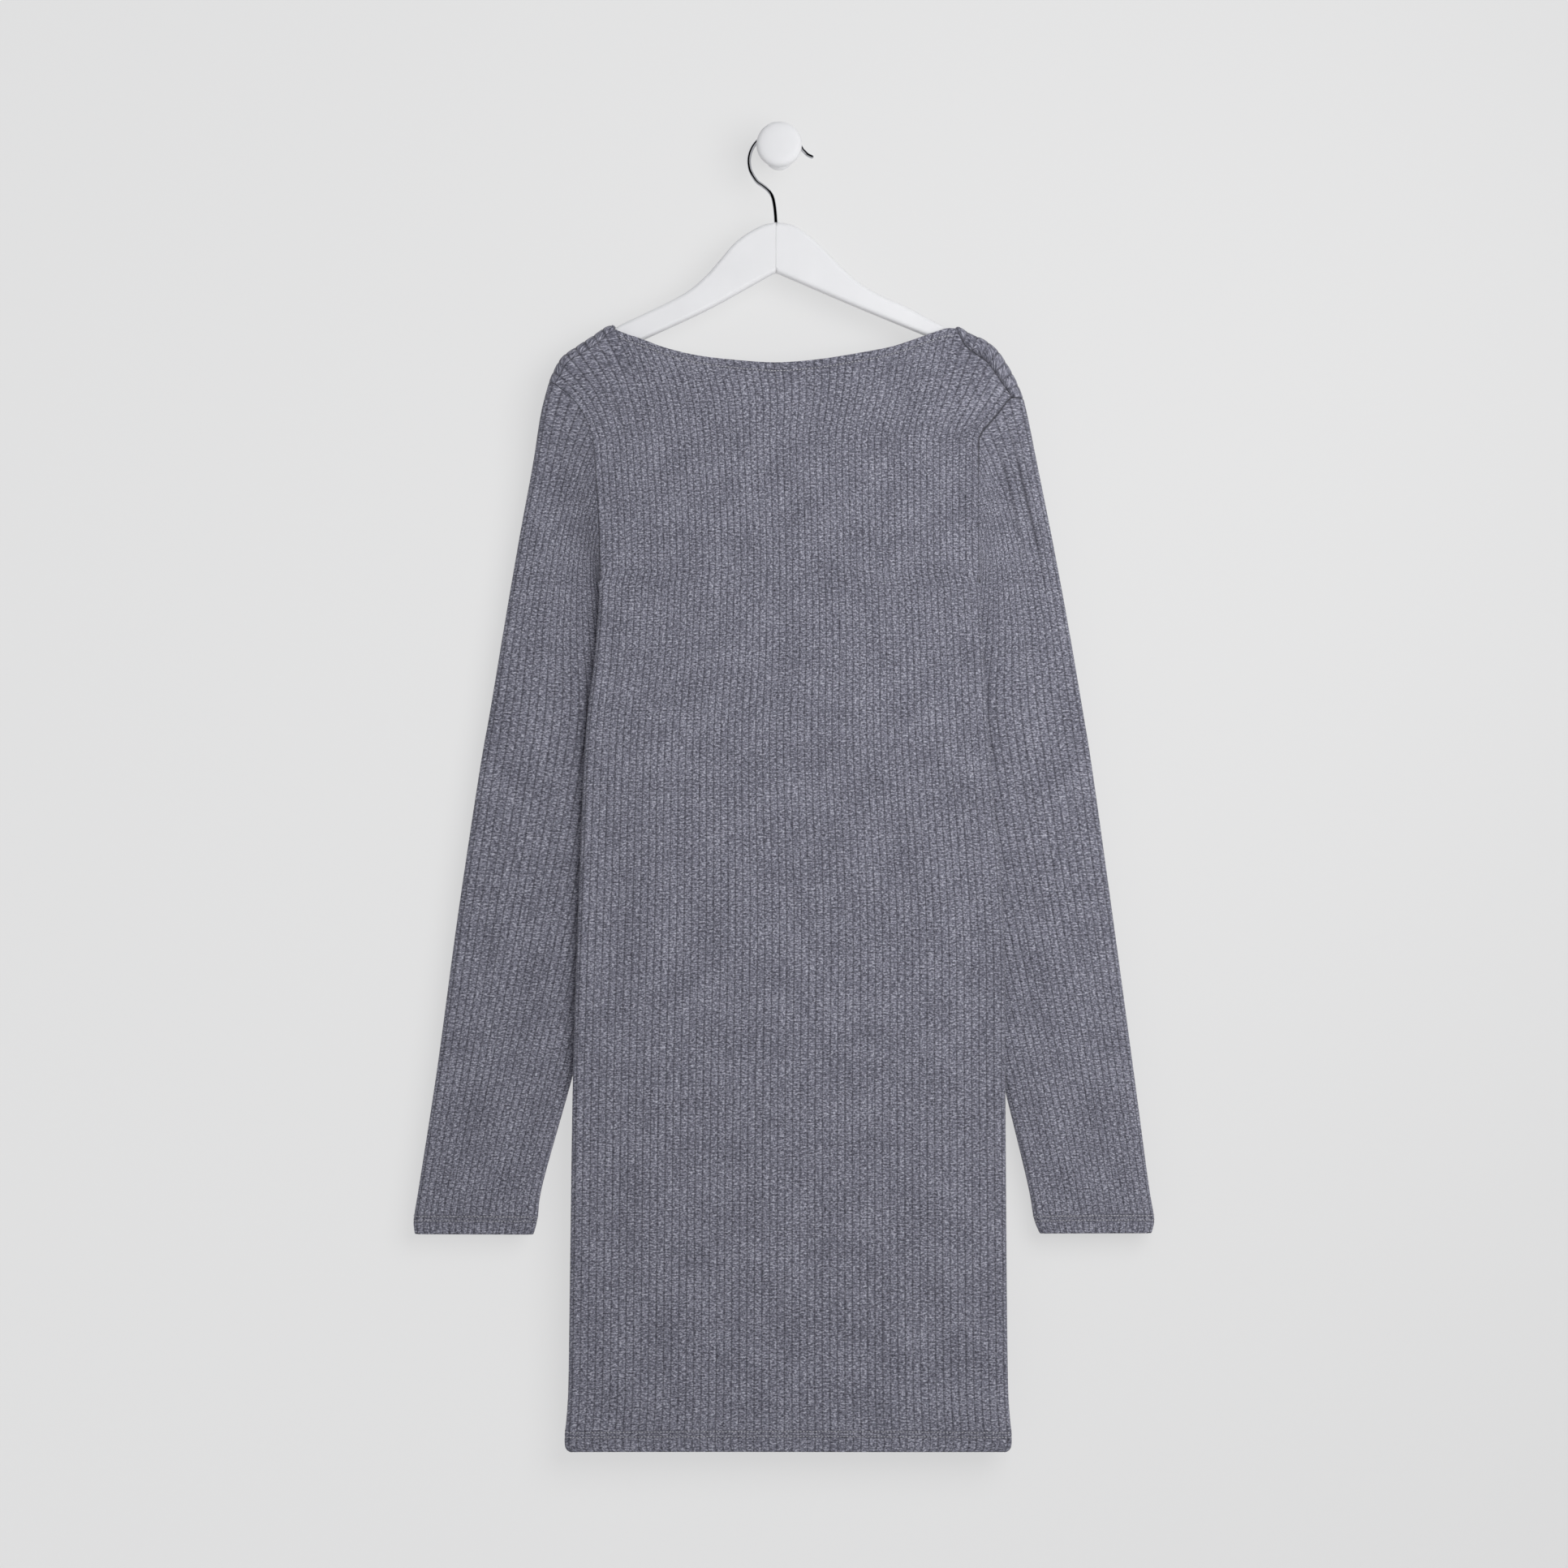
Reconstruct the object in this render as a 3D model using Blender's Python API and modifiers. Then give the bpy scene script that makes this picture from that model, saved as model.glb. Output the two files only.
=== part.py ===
"""Long-sleeved rib-knit mini dress, hung flat on a wooden hanger from a wall knob.

Lengths are in millimetres and become metres where a mesh is made. The origin is the middle of the
knob's back face, on the wall: X to the viewer's right, Y into the wall, Z up. The dress shows its back.
"""
import math

import bpy
import numpy as np

MM = 0.001
PART_NAME = "rib_dress_on_hanger"

# Cloth and its ribs
WALL = 1.3
RIB_HEIGHT = 0.5
BODY_RIBS = 59
SHOULDER_RIBS = 8
CROSSING_RIBS = 3
CROSSING_STEP = 1.5
SLEEVE_RIBS = 40
SEAM_GAP = 0.3
SEAM_EASE = 0.25

# The flat tube: how far the middle plane stands off the wall, half its depth, and its rounded folds
MIDDLE_PLANE = -30.0
HEM_LEAN = 1.5
LEAN_FROM = 200.0
LEAN_OVER = 760.0
WAVE_HEIGHT = 0.4
WAVE_START = 230.0
WAVE_GROWS_OVER = 150.0
WAVE_ACROSS = 47.0
WAVE_SLANT = 260.0
WAVE_DOWN = 150.0
WAVE_PHASE = 0.6
HALF_DEPTH_HANGER = 8.0
HALF_DEPTH_BODY = 4.8
DEPTH_CHANGE = (-262.0, -196.0)
FOLD = 4.5
SLEEVE_HALF_DEPTH = 4.4

# Body rows from the hem to the underarm and on up the armhole: height, left edge, right edge, closed side
BODY_ROWS = np.array([
    # z, left, right, closed
    (-965.1, -153.6, 167.0, 1.0),
    (-956.0, -157.8, 171.2, 1.0),
    (-931.0, -156.4, 169.6, 1.0),
    (-827.4, -154.6, 168.2, 1.0),
    (-683.4, -152.4, 167.1, 1.0),
    (-569.4, -148.8, 165.6, 1.0),
    (-439.8, -143.4, 154.8, 1.0),
    (-375.6, -136.2, 151.2, 1.0),
    (-323.4, -132.6, 147.9, 1.0),
    (-314.0, -132.6, 147.8, 0.0),
    (-270.0, -133.8, 147.3, 0.0),
    (-216.0, -137.4, 147.6, 0.0),
])

# Height below which the sides are sewn shut
UNDERARM = -324.0

# Armhole seam above the last body row, up to the end of the shoulder seam
ARMHOLE = {
    "left": np.array([(-137.4, -216.0), (-142.2, -202.0), (-149.4, -190.0), (-157.8, -181.8),
                      (-165.9, -175.8)]),
    "right": np.array([(147.6, -216.0), (150.5, -210.0), (157.4, -202.4), (163.0, -195.6),
                       (168.5, -188.3), (172.0, -185.6)]),
}

# Shoulder from the armhole to the neck: the fold over the hanger (x, z), and the seam behind it (x, z)
SHOULDER = {
    "left": np.array([
        # fold x, fold z, seam x, seam z
        (-170.4, -174.6, -165.9, -175.8),
        (-167.4, -166.8, -162.6, -170.0),
        (-160.8, -155.4, -156.6, -159.8),
        (-150.0, -147.4, -146.6, -153.2),
        (-138.0, -139.6, -134.8, -145.8),
        (-123.5, -129.8, -121.2, -133.8),
    ]),
    "right": np.array([
        (180.6, -186.0, 172.0, -185.6),
        (175.2, -172.8, 166.5, -177.3),
        (168.0, -159.6, 159.5, -167.0),
        (160.8, -149.4, 153.2, -159.0),
        (151.2, -142.0, 146.2, -154.0),
        (142.2, -137.0, 138.0, -147.0),
        (133.0, -130.8, 129.6, -134.0),
    ]),
}

# Neck edge of the back panel, and the lower scoop of the front panel, left to right
BACK_NECK = np.array([
    (-121.2, -133.8), (-114.0, -137.8), (-102.0, -142.2), (-84.0, -148.8), (-61.8, -154.2), (-36.0, -157.5),
    (-7.2, -159.6), (12.0, -159.0), (34.8, -156.6), (65.4, -151.5), (84.6, -147.6), (102.6, -141.6),
    (117.6, -136.6), (129.6, -134.0),
])
FRONT_NECK = np.array([
    (-114.5, -136.0), (-108.0, -146.0), (-99.0, -157.0), (-87.0, -167.4), (-66.0, -181.8), (-42.0, -190.8),
    (4.8, -194.4), (49.0, -190.8), (74.0, -181.8), (96.0, -167.4), (108.0, -157.0), (117.0, -146.5),
    (123.5, -136.5),
])
FRONT_MARGIN = 8.0
FRONT_ARMHOLE_SHIFT = 1.2

# How far up the armhole each row of a panel's shoulder lies
BACK_ROWS = np.array([0.28, 0.56, 0.8, 1.0])
FRONT_ROWS = np.array([0.33, 0.66, 1.0])
OVER_ROWS = (0.2, 0.4, 0.6, 0.8, 1.0)

# Columns of the plain inner side: every so many, and every second one this far round a seam
PLAIN_STEP = 8
PLAIN_STEP_SLEEVE = 4
FINE_REACH = 8
FINE_REACH_FOLD = 4

# Columns that the neck edge takes to cross the fold, less the part of it that lies on the fold
CROSSING_LAG = 1.5

# Sleeve sections from the armhole to the cuff: outer fold (x, z), inner fold (x, z), how far the section
# lies behind the body's middle plane, and how much of the armhole's curve it keeps
SLEEVE = {
    "left": np.array([
        # outer x, outer z, inner x, inner z, back, bow
        (-170.8, -175.2, -133.2, -324.6, 0.0, 1.0),
        (-176.4, -197.0, -135.5, -329.0, 3.5, 0.72),
        (-182.6, -234.0, -136.4, -335.5, 8.2, 0.40),
        (-192.0, -283.2, -133.0, -348.0, 10.9, 0.15),
        (-203.0, -347.0, -115.0, -382.0, 10.9, 0.0),
        (-214.5, -416.0, -95.4, -410.0, 10.9, 0.0),
        (-222.6, -462.0, -98.4, -456.0, 10.9, 0.0),
        (-238.8, -569.4, -123.0, -569.4, 10.9, 0.0),
        (-253.8, -680.4, -152.4, -682.2, 10.9, 0.0),
        (-267.0, -766.2, -175.8, -766.2, 10.9, 0.0),
        (-271.2, -793.0, -180.0, -792.0, 10.9, 0.0),
        (-270.6, -805.5, -183.4, -805.8, 10.9, 0.0),
    ]),
    "right": np.array([
        (180.6, -186.6, 148.8, -324.6, 0.0, 1.0),
        (184.8, -203.0, 150.6, -329.0, 3.5, 0.72),
        (191.6, -235.0, 151.4, -335.5, 8.2, 0.40),
        (201.6, -283.2, 148.0, -348.0, 10.9, 0.15),
        (213.6, -347.0, 129.4, -382.0, 10.9, 0.0),
        (225.4, -416.0, 109.2, -410.0, 10.9, 0.0),
        (232.8, -462.0, 114.0, -456.0, 10.9, 0.0),
        (247.8, -569.4, 136.8, -569.4, 10.9, 0.0),
        (262.8, -680.4, 164.4, -682.2, 10.9, 0.0),
        (274.2, -766.2, 184.8, -766.2, 10.9, 0.0),
        (278.4, -793.0, 189.6, -792.0, 10.9, 0.0),
        (276.6, -804.8, 194.4, -805.0, 10.9, 0.0),
    ]),
}

# Hanger: outline of the two arms, its thickness and the rounding of its edges
HANGER_OUTLINE = [
    (-2.4, -55.5), (-21.6, -62.4), (-33.0, -70.8), (-44.4, -84.0), (-54.0, -94.8), (-67.2, -106.2),
    (-84.6, -115.8), (-105.6, -125.8), (-120.0, -132.8), (-136.5, -143.4), (-149.0, -151.4),
    (-155.2, -157.2), (-156.4, -161.4), (-151.6, -164.4), (-136.0, -158.8), (-102.0, -142.6),
    (-52.2, -119.4), (-8.0, -95.0), (-2.4, -92.4), (3.2, -94.6), (54.0, -116.4), (110.4, -139.8),
    (140.0, -153.4), (154.0, -160.0), (159.8, -159.6), (160.2, -155.8), (150.0, -148.0), (136.0, -140.0),
    (123.6, -134.0), (112.2, -127.6), (93.0, -117.6), (72.0, -108.0), (57.0, -98.4), (43.5, -86.1),
    (30.0, -72.0), (16.8, -61.2),
]
HANGER_THICKNESS = 12.0
HANGER_ROUNDING = 3.0
HANGER_SHARPEST = 70.0

# Hook of round wire: shank points, then the arc over the knob, then the flicked tip
WIRE_RADIUS = 1.5
HOOK_SHANK = [(-2.4, -55.2), (-2.8, -49.0), (-3.6, -42.0), (-5.0, -36.0), (-7.8, -31.6), (-12.0, -28.0),
              (-16.6, -24.6)]
HOOK_CENTRE = (-1.6, -9.8)
HOOK_RADIUS = 20.8
HOOK_ARC = (203.0, 24.0)
HOOK_ARC_STEPS = 22
HOOK_TIP = [(18.6, -2.4), (21.0, -4.8), (24.2, -6.4)]

# Knob: turned about its own axis, radius against distance from the wall
KNOB_PROFILE = [(0.0, 0.0), (11.0, 0.0), (11.0, 2.0), (9.1, 4.0), (9.1, 38.0), (10.0, 39.4), (15.2, 40.4),
                (16.5, 41.8), (16.7, 44.0), (16.2, 47.0), (14.6, 49.0), (11.6, 50.0), (0.0, 50.4)]
KNOB_STEPS = 32

# Points closer than this become one, in metres
MERGE = 0.00001

# Colours as linear red, green, blue, with roughness and metallic value
FINISHES = {
    "rib_jersey": ((0.178, 0.178, 0.216), 0.9, 0.0),
    "painted_wood": ((0.80, 0.80, 0.81), 0.42, 0.0),
    "chrome_wire": ((0.60, 0.61, 0.63), 0.16, 1.0),
    "painted_knob": ((0.78, 0.78, 0.79), 0.45, 0.0),
}


def clear_scene():
    """Remove every object of the open scene."""
    for old in list(bpy.data.objects):
        bpy.data.objects.remove(old, do_unlink=True)


def finish(name):
    """Material of one finish."""
    found = bpy.data.materials.get(name)
    if found:
        return found
    colour, roughness, metallic = FINISHES[name]
    made = bpy.data.materials.new(name)
    made.use_nodes = True
    shader = made.node_tree.nodes["Principled BSDF"]
    shader.inputs["Base Color"].default_value = (*colour, 1.0)
    shader.inputs["Roughness"].default_value = roughness
    shader.inputs["Metallic"].default_value = metallic
    made.diffuse_color = (*colour, 1.0)
    return made


def place(obj, collection, material):
    """Put an object in the part's collection with its material."""
    collection.objects.link(obj)
    obj.data.materials.append(finish(material))
    return obj


def along(points, fractions):
    """Points at the given fractions of a polyline's length."""
    points = np.asarray(points, float)
    steps = np.linalg.norm(np.diff(points, axis=0), axis=1)
    length = np.concatenate([[0.0], np.cumsum(steps)])
    at = np.clip(fractions, 0.0, 1.0) * length[-1]
    return np.stack([np.interp(at, length, points[:, k]) for k in range(points.shape[1])], axis=-1)


def half_depth(z):
    """Half the body's depth: thin below, and wide enough for the hanger at the shoulders."""
    return np.interp(z, DEPTH_CHANGE, (HALF_DEPTH_BODY, HALF_DEPTH_HANGER))


def middle(x, z):
    """Y of the garment's middle plane: it leans in to the wall and waves softly below the chest."""
    down = np.clip((-z - LEAN_FROM) / LEAN_OVER, 0.0, 1.0)
    grow = np.clip((-z - WAVE_START) / WAVE_GROWS_OVER, 0.0, 1.0)
    wave = np.sin(x / WAVE_ACROSS + z / WAVE_SLANT) * np.cos(z / WAVE_DOWN + WAVE_PHASE)
    return MIDDLE_PLANE + HEM_LEAN * down * down * (3.0 - 2.0 * down) + WAVE_HEIGHT * grow * wave


def quarter(depth):
    """Length of cloth in a quarter of the rounded fold, an ellipse of half axes FOLD and depth."""
    sum_of_axes = FOLD + depth
    return math.pi / 4.0 * (3.0 * sum_of_axes - np.sqrt((3.0 * FOLD + depth) * (FOLD + 3.0 * depth)))


def round_fold(cloth, depth):
    """Across-distance and depth of a point that lies this much cloth from a fold's outermost line."""
    reach = quarter(depth)
    angle = np.clip(cloth / reach, 0.0, 1.0) * math.pi / 2.0
    across = FOLD * (1.0 - np.cos(angle)) + np.maximum(cloth - reach, 0.0)
    return across, depth * np.sin(angle)


def flat_tube(fraction, width, depth):
    """Across-distance and depth on one side of a flattened tube, at fractions of its cloth."""
    reach = quarter(depth)
    cloth = width - 2.0 * FOLD + 2.0 * reach
    from_start = fraction * cloth
    from_end = cloth - from_start
    across_start, depth_start = round_fold(from_start, depth)
    across_end, depth_end = round_fold(from_end, depth)
    near_start = fraction < 0.5
    across = np.where(near_start, across_start, width - across_end)
    return across, np.where(near_start, depth_start, depth_end)


def coons(bottom, top, left, right, rows):
    """Rows of a patch blended from its four edges; the first row, the bottom edge, is left out."""
    u = np.linspace(0.0, 1.0, len(bottom))[None, :, None]
    w = rows[:, None, None]
    sides = (1.0 - u) * left[:, None, :] + u * right[:, None, :]
    ends = (1.0 - w) * bottom[None] + w * top[None]
    corners = ((1.0 - u) * (1.0 - w) * bottom[0] + u * (1.0 - w) * bottom[-1]
               + (1.0 - u) * w * top[0] + u * w * top[-1])
    return sides + ends - corners


def lower_rows(side):
    """Grid of a panel from the hem to the armhole; side is -1 towards the viewer and 1 towards the wall."""
    u = np.linspace(0.0, 1.0, 2 * BODY_RIBS + 1)
    rows = []
    for z, left, right, closed in BODY_ROWS:
        width = right - left
        depth = half_depth(z)
        across, out = flat_tube(u, width, depth)
        across = closed * across + (1.0 - closed) * u * width
        out = closed * out + (1.0 - closed) * depth
        x = left + across
        y = middle(x, z) + side * np.maximum(out, SEAM_GAP / 2.0)
        rows.append(np.stack([x, y, np.full_like(x, z)], axis=-1))
    return np.array(rows)


def shoulder_columns(hand):
    """Fold points and seam points of one shoulder's columns, in order from the armhole to the neck."""
    fractions = np.linspace(0.0, 1.0, 2 * SHOULDER_RIBS + 1)
    table = SHOULDER[hand]
    steps = np.linspace(0.0, 1.0, len(table))
    even = along(table, steps)
    return np.stack([np.interp(fractions, steps, even[:, k]) for k in range(4)], axis=-1)


def unit(vectors):
    """Vectors at length one."""
    return vectors / np.linalg.norm(vectors, axis=-1, keepdims=True)


def back_panel_grid():
    """The back panel: hem to armhole, then up to the shoulder seams and the neck edge."""
    low = lower_rows(-1.0)
    left = shoulder_columns("left")
    right = shoulder_columns("right")[::-1]
    neck = along(BACK_NECK, np.linspace(0.0, 1.0, 2 * (BODY_RIBS - 2 * SHOULDER_RIBS) + 1))
    inward_left = unit(left[:, 2:] - left[:, :2])
    inward_right = unit(right[:, 2:] - right[:, :2])
    top_left = left[:, 2:] + SEAM_GAP * inward_left
    top_right = right[:, 2:] + SEAM_GAP * inward_right
    top = np.concatenate([top_left, neck[1:-1], top_right])
    start = low[-1][:, [0, 2]]
    rows = BACK_ROWS
    edge_left = along(np.vstack([ARMHOLE["left"][:-1], top[:1]]), rows)
    edge_right = along(np.vstack([ARMHOLE["right"][:-1], top[-1:]]), rows)
    flat = coons(start, top, edge_left, edge_right, rows)
    x, z = flat[..., 0], flat[..., 1]
    high = np.stack([x, middle(x, z) - half_depth(z), z], axis=-1)
    return np.concatenate([low, high])


def front_panel_grid():
    """The front panel: hem to armhole on the wall side, over the hanger and down to the shoulder seams."""
    low = lower_rows(1.0)
    left = shoulder_columns("left")
    right = shoulder_columns("right")[::-1]
    cloth_left = -seam_cloth(left)
    cloth_right = -seam_cloth(right)
    crossing = 2 * CROSSING_RIBS
    neck_count = 2 * (BODY_RIBS - 2 * SHOULDER_RIBS) - 1
    scoop = along(FRONT_NECK, np.linspace(0.0, 1.0, neck_count - 2 * crossing + 2))
    lean_left = unit(left[-1, 2:] - left[-1, :2])
    lean_right = unit(right[0, 2:] - right[0, :2])
    # Over the hanger the neck edge crosses the fold in a few columns, then follows the scoop
    run_left = unit(left[-1, :2] - left[-3, :2])
    run_right = unit(right[0, :2] - right[2, :2])
    count = np.arange(1, crossing)[:, None]
    full = quarter(HALF_DEPTH_HANGER)
    fold_cross_left = left[-1, :2] + CROSSING_STEP * count * run_left
    fold_cross_right = right[0, :2] + CROSSING_STEP * count[::-1] * run_right
    part = np.minimum(np.arange(1, crossing) / (crossing - CROSSING_LAG), 1.0)
    cloth_cross_left = cloth_left[-1] + (full - cloth_left[-1]) * part
    cloth_cross_right = (cloth_right[0] + (full - cloth_right[0]) * part)[::-1]
    down = np.array([0.0, -1.0])
    scoop_inward = np.tile(down, (len(scoop), 1))
    fold = np.concatenate([left[:, :2], fold_cross_left, scoop - FOLD * scoop_inward,
                           fold_cross_right, right[:, :2]])
    turn_left = unit(lean_left + (down - lean_left) * part[:, None])
    turn_right = unit(lean_right + (down - lean_right) * part[::-1, None])
    inward = np.concatenate([unit(left[:, 2:] - left[:, :2]), turn_left, scoop_inward, turn_right,
                             unit(right[:, 2:] - right[:, :2])])
    last_cloth = np.concatenate([cloth_left, cloth_cross_left, np.full(len(scoop), full),
                                 cloth_cross_right, cloth_right])
    first_cloth = full + FRONT_MARGIN
    start = low[-1][:, [0, 2]]
    rows = FRONT_ROWS
    top = fold + inward * (FOLD + FRONT_MARGIN)
    shift = np.array([FRONT_ARMHOLE_SHIFT, 0.0])
    edge_left = along(np.vstack([ARMHOLE["left"][:1], ARMHOLE["left"][1:-1] + shift, top[:1]]), rows)
    edge_right = along(np.vstack([ARMHOLE["right"][:1], ARMHOLE["right"][1:-1] - shift, top[-1:]]), rows)
    flat = coons(start, top, edge_left, edge_right, rows)
    x, z = flat[..., 0], flat[..., 1]
    high = np.stack([x, middle(x, z) + half_depth(z), z], axis=-1)
    over = []
    over_normals = []
    for step in OVER_ROWS:
        cloth = first_cloth + (last_cloth - first_cloth) * step
        across, depth = round_fold(np.abs(cloth), HALF_DEPTH_HANGER)
        place_flat = fold + inward * across[:, None]
        x, z = place_flat[:, 0], place_flat[:, 1]
        over.append(np.stack([x, MIDDLE_PLANE + np.sign(cloth) * depth, z], axis=-1))
        angle = np.clip(np.abs(cloth) / full, 0.0, 1.0) * math.pi / 2.0
        outward = -inward * (HALF_DEPTH_HANGER * np.cos(angle))[:, None]
        facing = np.sign(cloth) * FOLD * np.sin(angle)
        over_normals.append(unit(np.stack([outward[:, 0], facing, outward[:, 1]], axis=-1)))
    return np.concatenate([low, high, np.array(over)]), np.array(over_normals)


def seam_cloth(columns):
    """Cloth between the fold over the hanger and the shoulder seam, for each column."""
    across = np.linalg.norm(columns[:, 2:] - columns[:, :2], axis=1)
    reach = quarter(HALF_DEPTH_HANGER)
    angle = np.arccos(np.clip(1.0 - across / FOLD, 0.0, 1.0))
    return np.where(across < FOLD, reach * angle / (math.pi / 2.0), reach + across - FOLD)


def sleeve_grids(hand):
    """Both sides of a sleeve: sections from the armhole seam to the cuff, each half a flattened tube.

    Gives for each side its grid and the normals of its first row, first column and last column.
    """
    sign = -1.0 if hand == "left" else 1.0
    under = [row for row in BODY_ROWS if row[0] >= UNDERARM]
    edge = np.array([(row[1] if hand == "left" else row[2], row[0]) for row in under])
    seam = np.vstack([edge, along(ARMHOLE[hand], BACK_ROWS), SHOULDER[hand][:1, :2]])
    direction = unit(np.gradient(seam, axis=0))
    lateral = sign * np.stack([direction[:, 1], -direction[:, 0]], axis=-1)
    seam = seam + lateral * (SEAM_GAP + SEAM_EASE)
    length = np.concatenate([[0.0], np.cumsum(np.linalg.norm(np.diff(seam, axis=0), axis=1))])
    fraction = np.arange(SLEEVE_RIBS + 1) / SLEEVE_RIBS
    grids = {-1.0: [], 1.0: []}
    ways = []
    across_seam = None
    for number, (ox, oz, ix, iz, back, bow) in enumerate(SLEEVE[hand]):
        outer = seam[-1] if number == 0 else np.array([ox, oz])
        inner = seam[0] if number == 0 else np.array([ix, iz])
        straight = length[-1] if number == 0 else np.linalg.norm(outer - inner)
        width = straight + bow * (length[-1] - straight)
        thin = half_depth(iz + (oz - iz) * fraction)
        across, out = flat_tube(fraction, width, bow * thin + (1.0 - bow) * SLEEVE_HALF_DEPTH)
        s = across / width
        bent = along(seam, s) - (seam[0] + s[:, None] * (seam[-1] - seam[0]))
        flat = inner + s[:, None] * (outer - inner) + bow * bent
        x, z = flat[:, 0], flat[:, 1]
        for side, rows in grids.items():
            y = middle(x, z) + back + side * np.maximum(out, SEAM_GAP / 2.0)
            rows.append(np.stack([x, y, z], axis=-1))
        ways.append(unit(np.array([flat[FINE_REACH_FOLD] - flat[0], flat[-1] - flat[-1 - FINE_REACH_FOLD]])))
        if number == 0:
            at = s * length[-1]
            across_seam = np.stack([np.interp(at, length, lateral[:, k]) for k in (0, 1)], axis=-1)
    return {side: np.array(rows) for side, rows in grids.items()}, np.array(ways), unit(across_seam)


def grid_normals(grid):
    """Unit normals of a grid of points."""
    return unit(np.cross(np.gradient(grid, axis=1), np.gradient(grid, axis=0)))


def wall_mesh(name, grid, normals, sparse):
    """Closed wall: ribbed outer points, plain inner points on fewer columns, and rims between them."""
    rows, columns = grid.shape[:2]
    lift = np.where(np.arange(columns) % 2 == 1, RIB_HEIGHT, 0.0)
    outer = grid + normals * lift[None, :, None]
    inner = (grid - normals * WALL)[:, sparse]
    points = np.concatenate([outer.reshape(-1, 3), inner.reshape(-1, 3)]) * MM
    few = len(sparse)
    faces = []

    def out(r, c):
        return r * columns + c

    def ins(r, k):
        return rows * columns + r * few + k

    for r in range(rows - 1):
        for c in range(columns - 1):
            faces.append((out(r, c), out(r, c + 1), out(r + 1, c + 1), out(r + 1, c)))
        for k in range(few - 1):
            faces.append((ins(r, k), ins(r + 1, k), ins(r + 1, k + 1), ins(r, k + 1)))
        last, end = columns - 1, few - 1
        faces.append((out(r, 0), out(r + 1, 0), ins(r + 1, 0), ins(r, 0)))
        faces.append((out(r + 1, last), out(r, last), ins(r, end), ins(r + 1, end)))
    for row, turn in ((0, 1), (rows - 1, -1)):
        for k in range(few - 1):
            first, last = sparse[k], sparse[k + 1]
            half = (first + last) // 2
            rim = [(out(row, c + 1), out(row, c), ins(row, k)) for c in range(first, half)]
            rim.append((out(row, half), ins(row, k), ins(row, k + 1)))
            rim += [(out(row, c + 1), out(row, c), ins(row, k + 1)) for c in range(half, last)]
            faces += [face[::turn] for face in rim]
    mesh = bpy.data.meshes.new(name)
    mesh.from_pydata(points.tolist(), [], faces)
    mesh.update()
    if enclosed_volume(mesh) < 0.0:
        mesh.flip_normals()
    return mesh


def enclosed_volume(mesh):
    """Signed volume inside a closed mesh; negative when its faces point in."""
    mesh.calc_loop_triangles()
    points = np.array([v.co[:] for v in mesh.vertices])
    corners = points[np.array([t.vertices[:] for t in mesh.loop_triangles])]
    return float(np.einsum("ij,ij->i", corners[:, 0], np.cross(corners[:, 1], corners[:, 2])).sum() / 6.0)


def plain_columns(columns, fine, step):
    """Columns of the plain inner side: close together near the fine ones, and every few elsewhere."""
    keep = {0, columns - 1}
    keep.update(range(0, columns, step))
    for start, end in fine:
        keep.update(range(max(start, 0), min(end, columns - 1) + 1, 2))
    return sorted(keep)


def make_panel(name, grid, side, over_normals, collection):
    """One body panel as a ribbed wall."""
    columns = grid.shape[1]
    normals = grid_normals(grid)
    if normals[0, columns // 2, 1] * side < 0.0:
        normals = -normals
    # The wall stands square to the seams: sideways at the closed sides, to the front at the armholes
    closed = int(BODY_ROWS[:, 3].sum())
    normals[:closed, 0] = (-1.0, 0.0, 0.0)
    normals[:closed, -1] = (1.0, 0.0, 0.0)
    normals[closed:, [0, -1]] = (0.0, side, 0.0)
    normals[-1] = (0.0, side, 0.0)
    if over_normals is not None:
        normals[-len(over_normals):] = over_normals
    shoulder = 2 * SHOULDER_RIBS
    last = columns - 1
    neck = FINE_REACH + 2
    fine = [(0, FINE_REACH), (last - FINE_REACH, last), (shoulder - FINE_REACH_FOLD, shoulder + neck),
            (last - shoulder - neck, last - shoulder + FINE_REACH_FOLD)]
    mesh = wall_mesh(name, grid, normals, plain_columns(columns, fine, PLAIN_STEP))
    return place(bpy.data.objects.new(name, mesh), collection, "rib_jersey")


def make_sleeve(hand, collection):
    """One sleeve as two ribbed walls, its back and its front, that meet at the folds."""
    grids, ways, across_seam = sleeve_grids(hand)
    seam_sideways = np.stack([across_seam[:, 0], np.zeros(len(across_seam)), across_seam[:, 1]], axis=-1)
    for side, layer in ((-1.0, "back"), (1.0, "front")):
        grid = grids[side]
        normals = grid_normals(grid)
        if normals[-1, SLEEVE_RIBS // 2, 1] * side < 0.0:
            normals = -normals
        # The wall stands square to the folds, where the two sides meet
        level = np.zeros(len(ways))
        normals[:, 0] = -np.stack([ways[:, 0, 0], level, ways[:, 0, 1]], axis=-1)
        normals[:, -1] = np.stack([ways[:, 1, 0], level, ways[:, 1, 1]], axis=-1)
        # At the armhole its thickness lies along the seam line, so the rim faces the panels squarely
        tilt = np.einsum("ij,ij->i", normals[0], seam_sideways)[:, None]
        normals[0] = unit(normals[0] - tilt * seam_sideways)
        last = SLEEVE_RIBS
        fine = [(0, FINE_REACH_FOLD), (last - FINE_REACH_FOLD, last)]
        name = "sleeve_" + hand + "_" + layer
        mesh = wall_mesh(name, grid, normals, plain_columns(last + 1, fine, PLAIN_STEP_SLEEVE))
        place(bpy.data.objects.new(name, mesh), collection, "rib_jersey")


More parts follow.
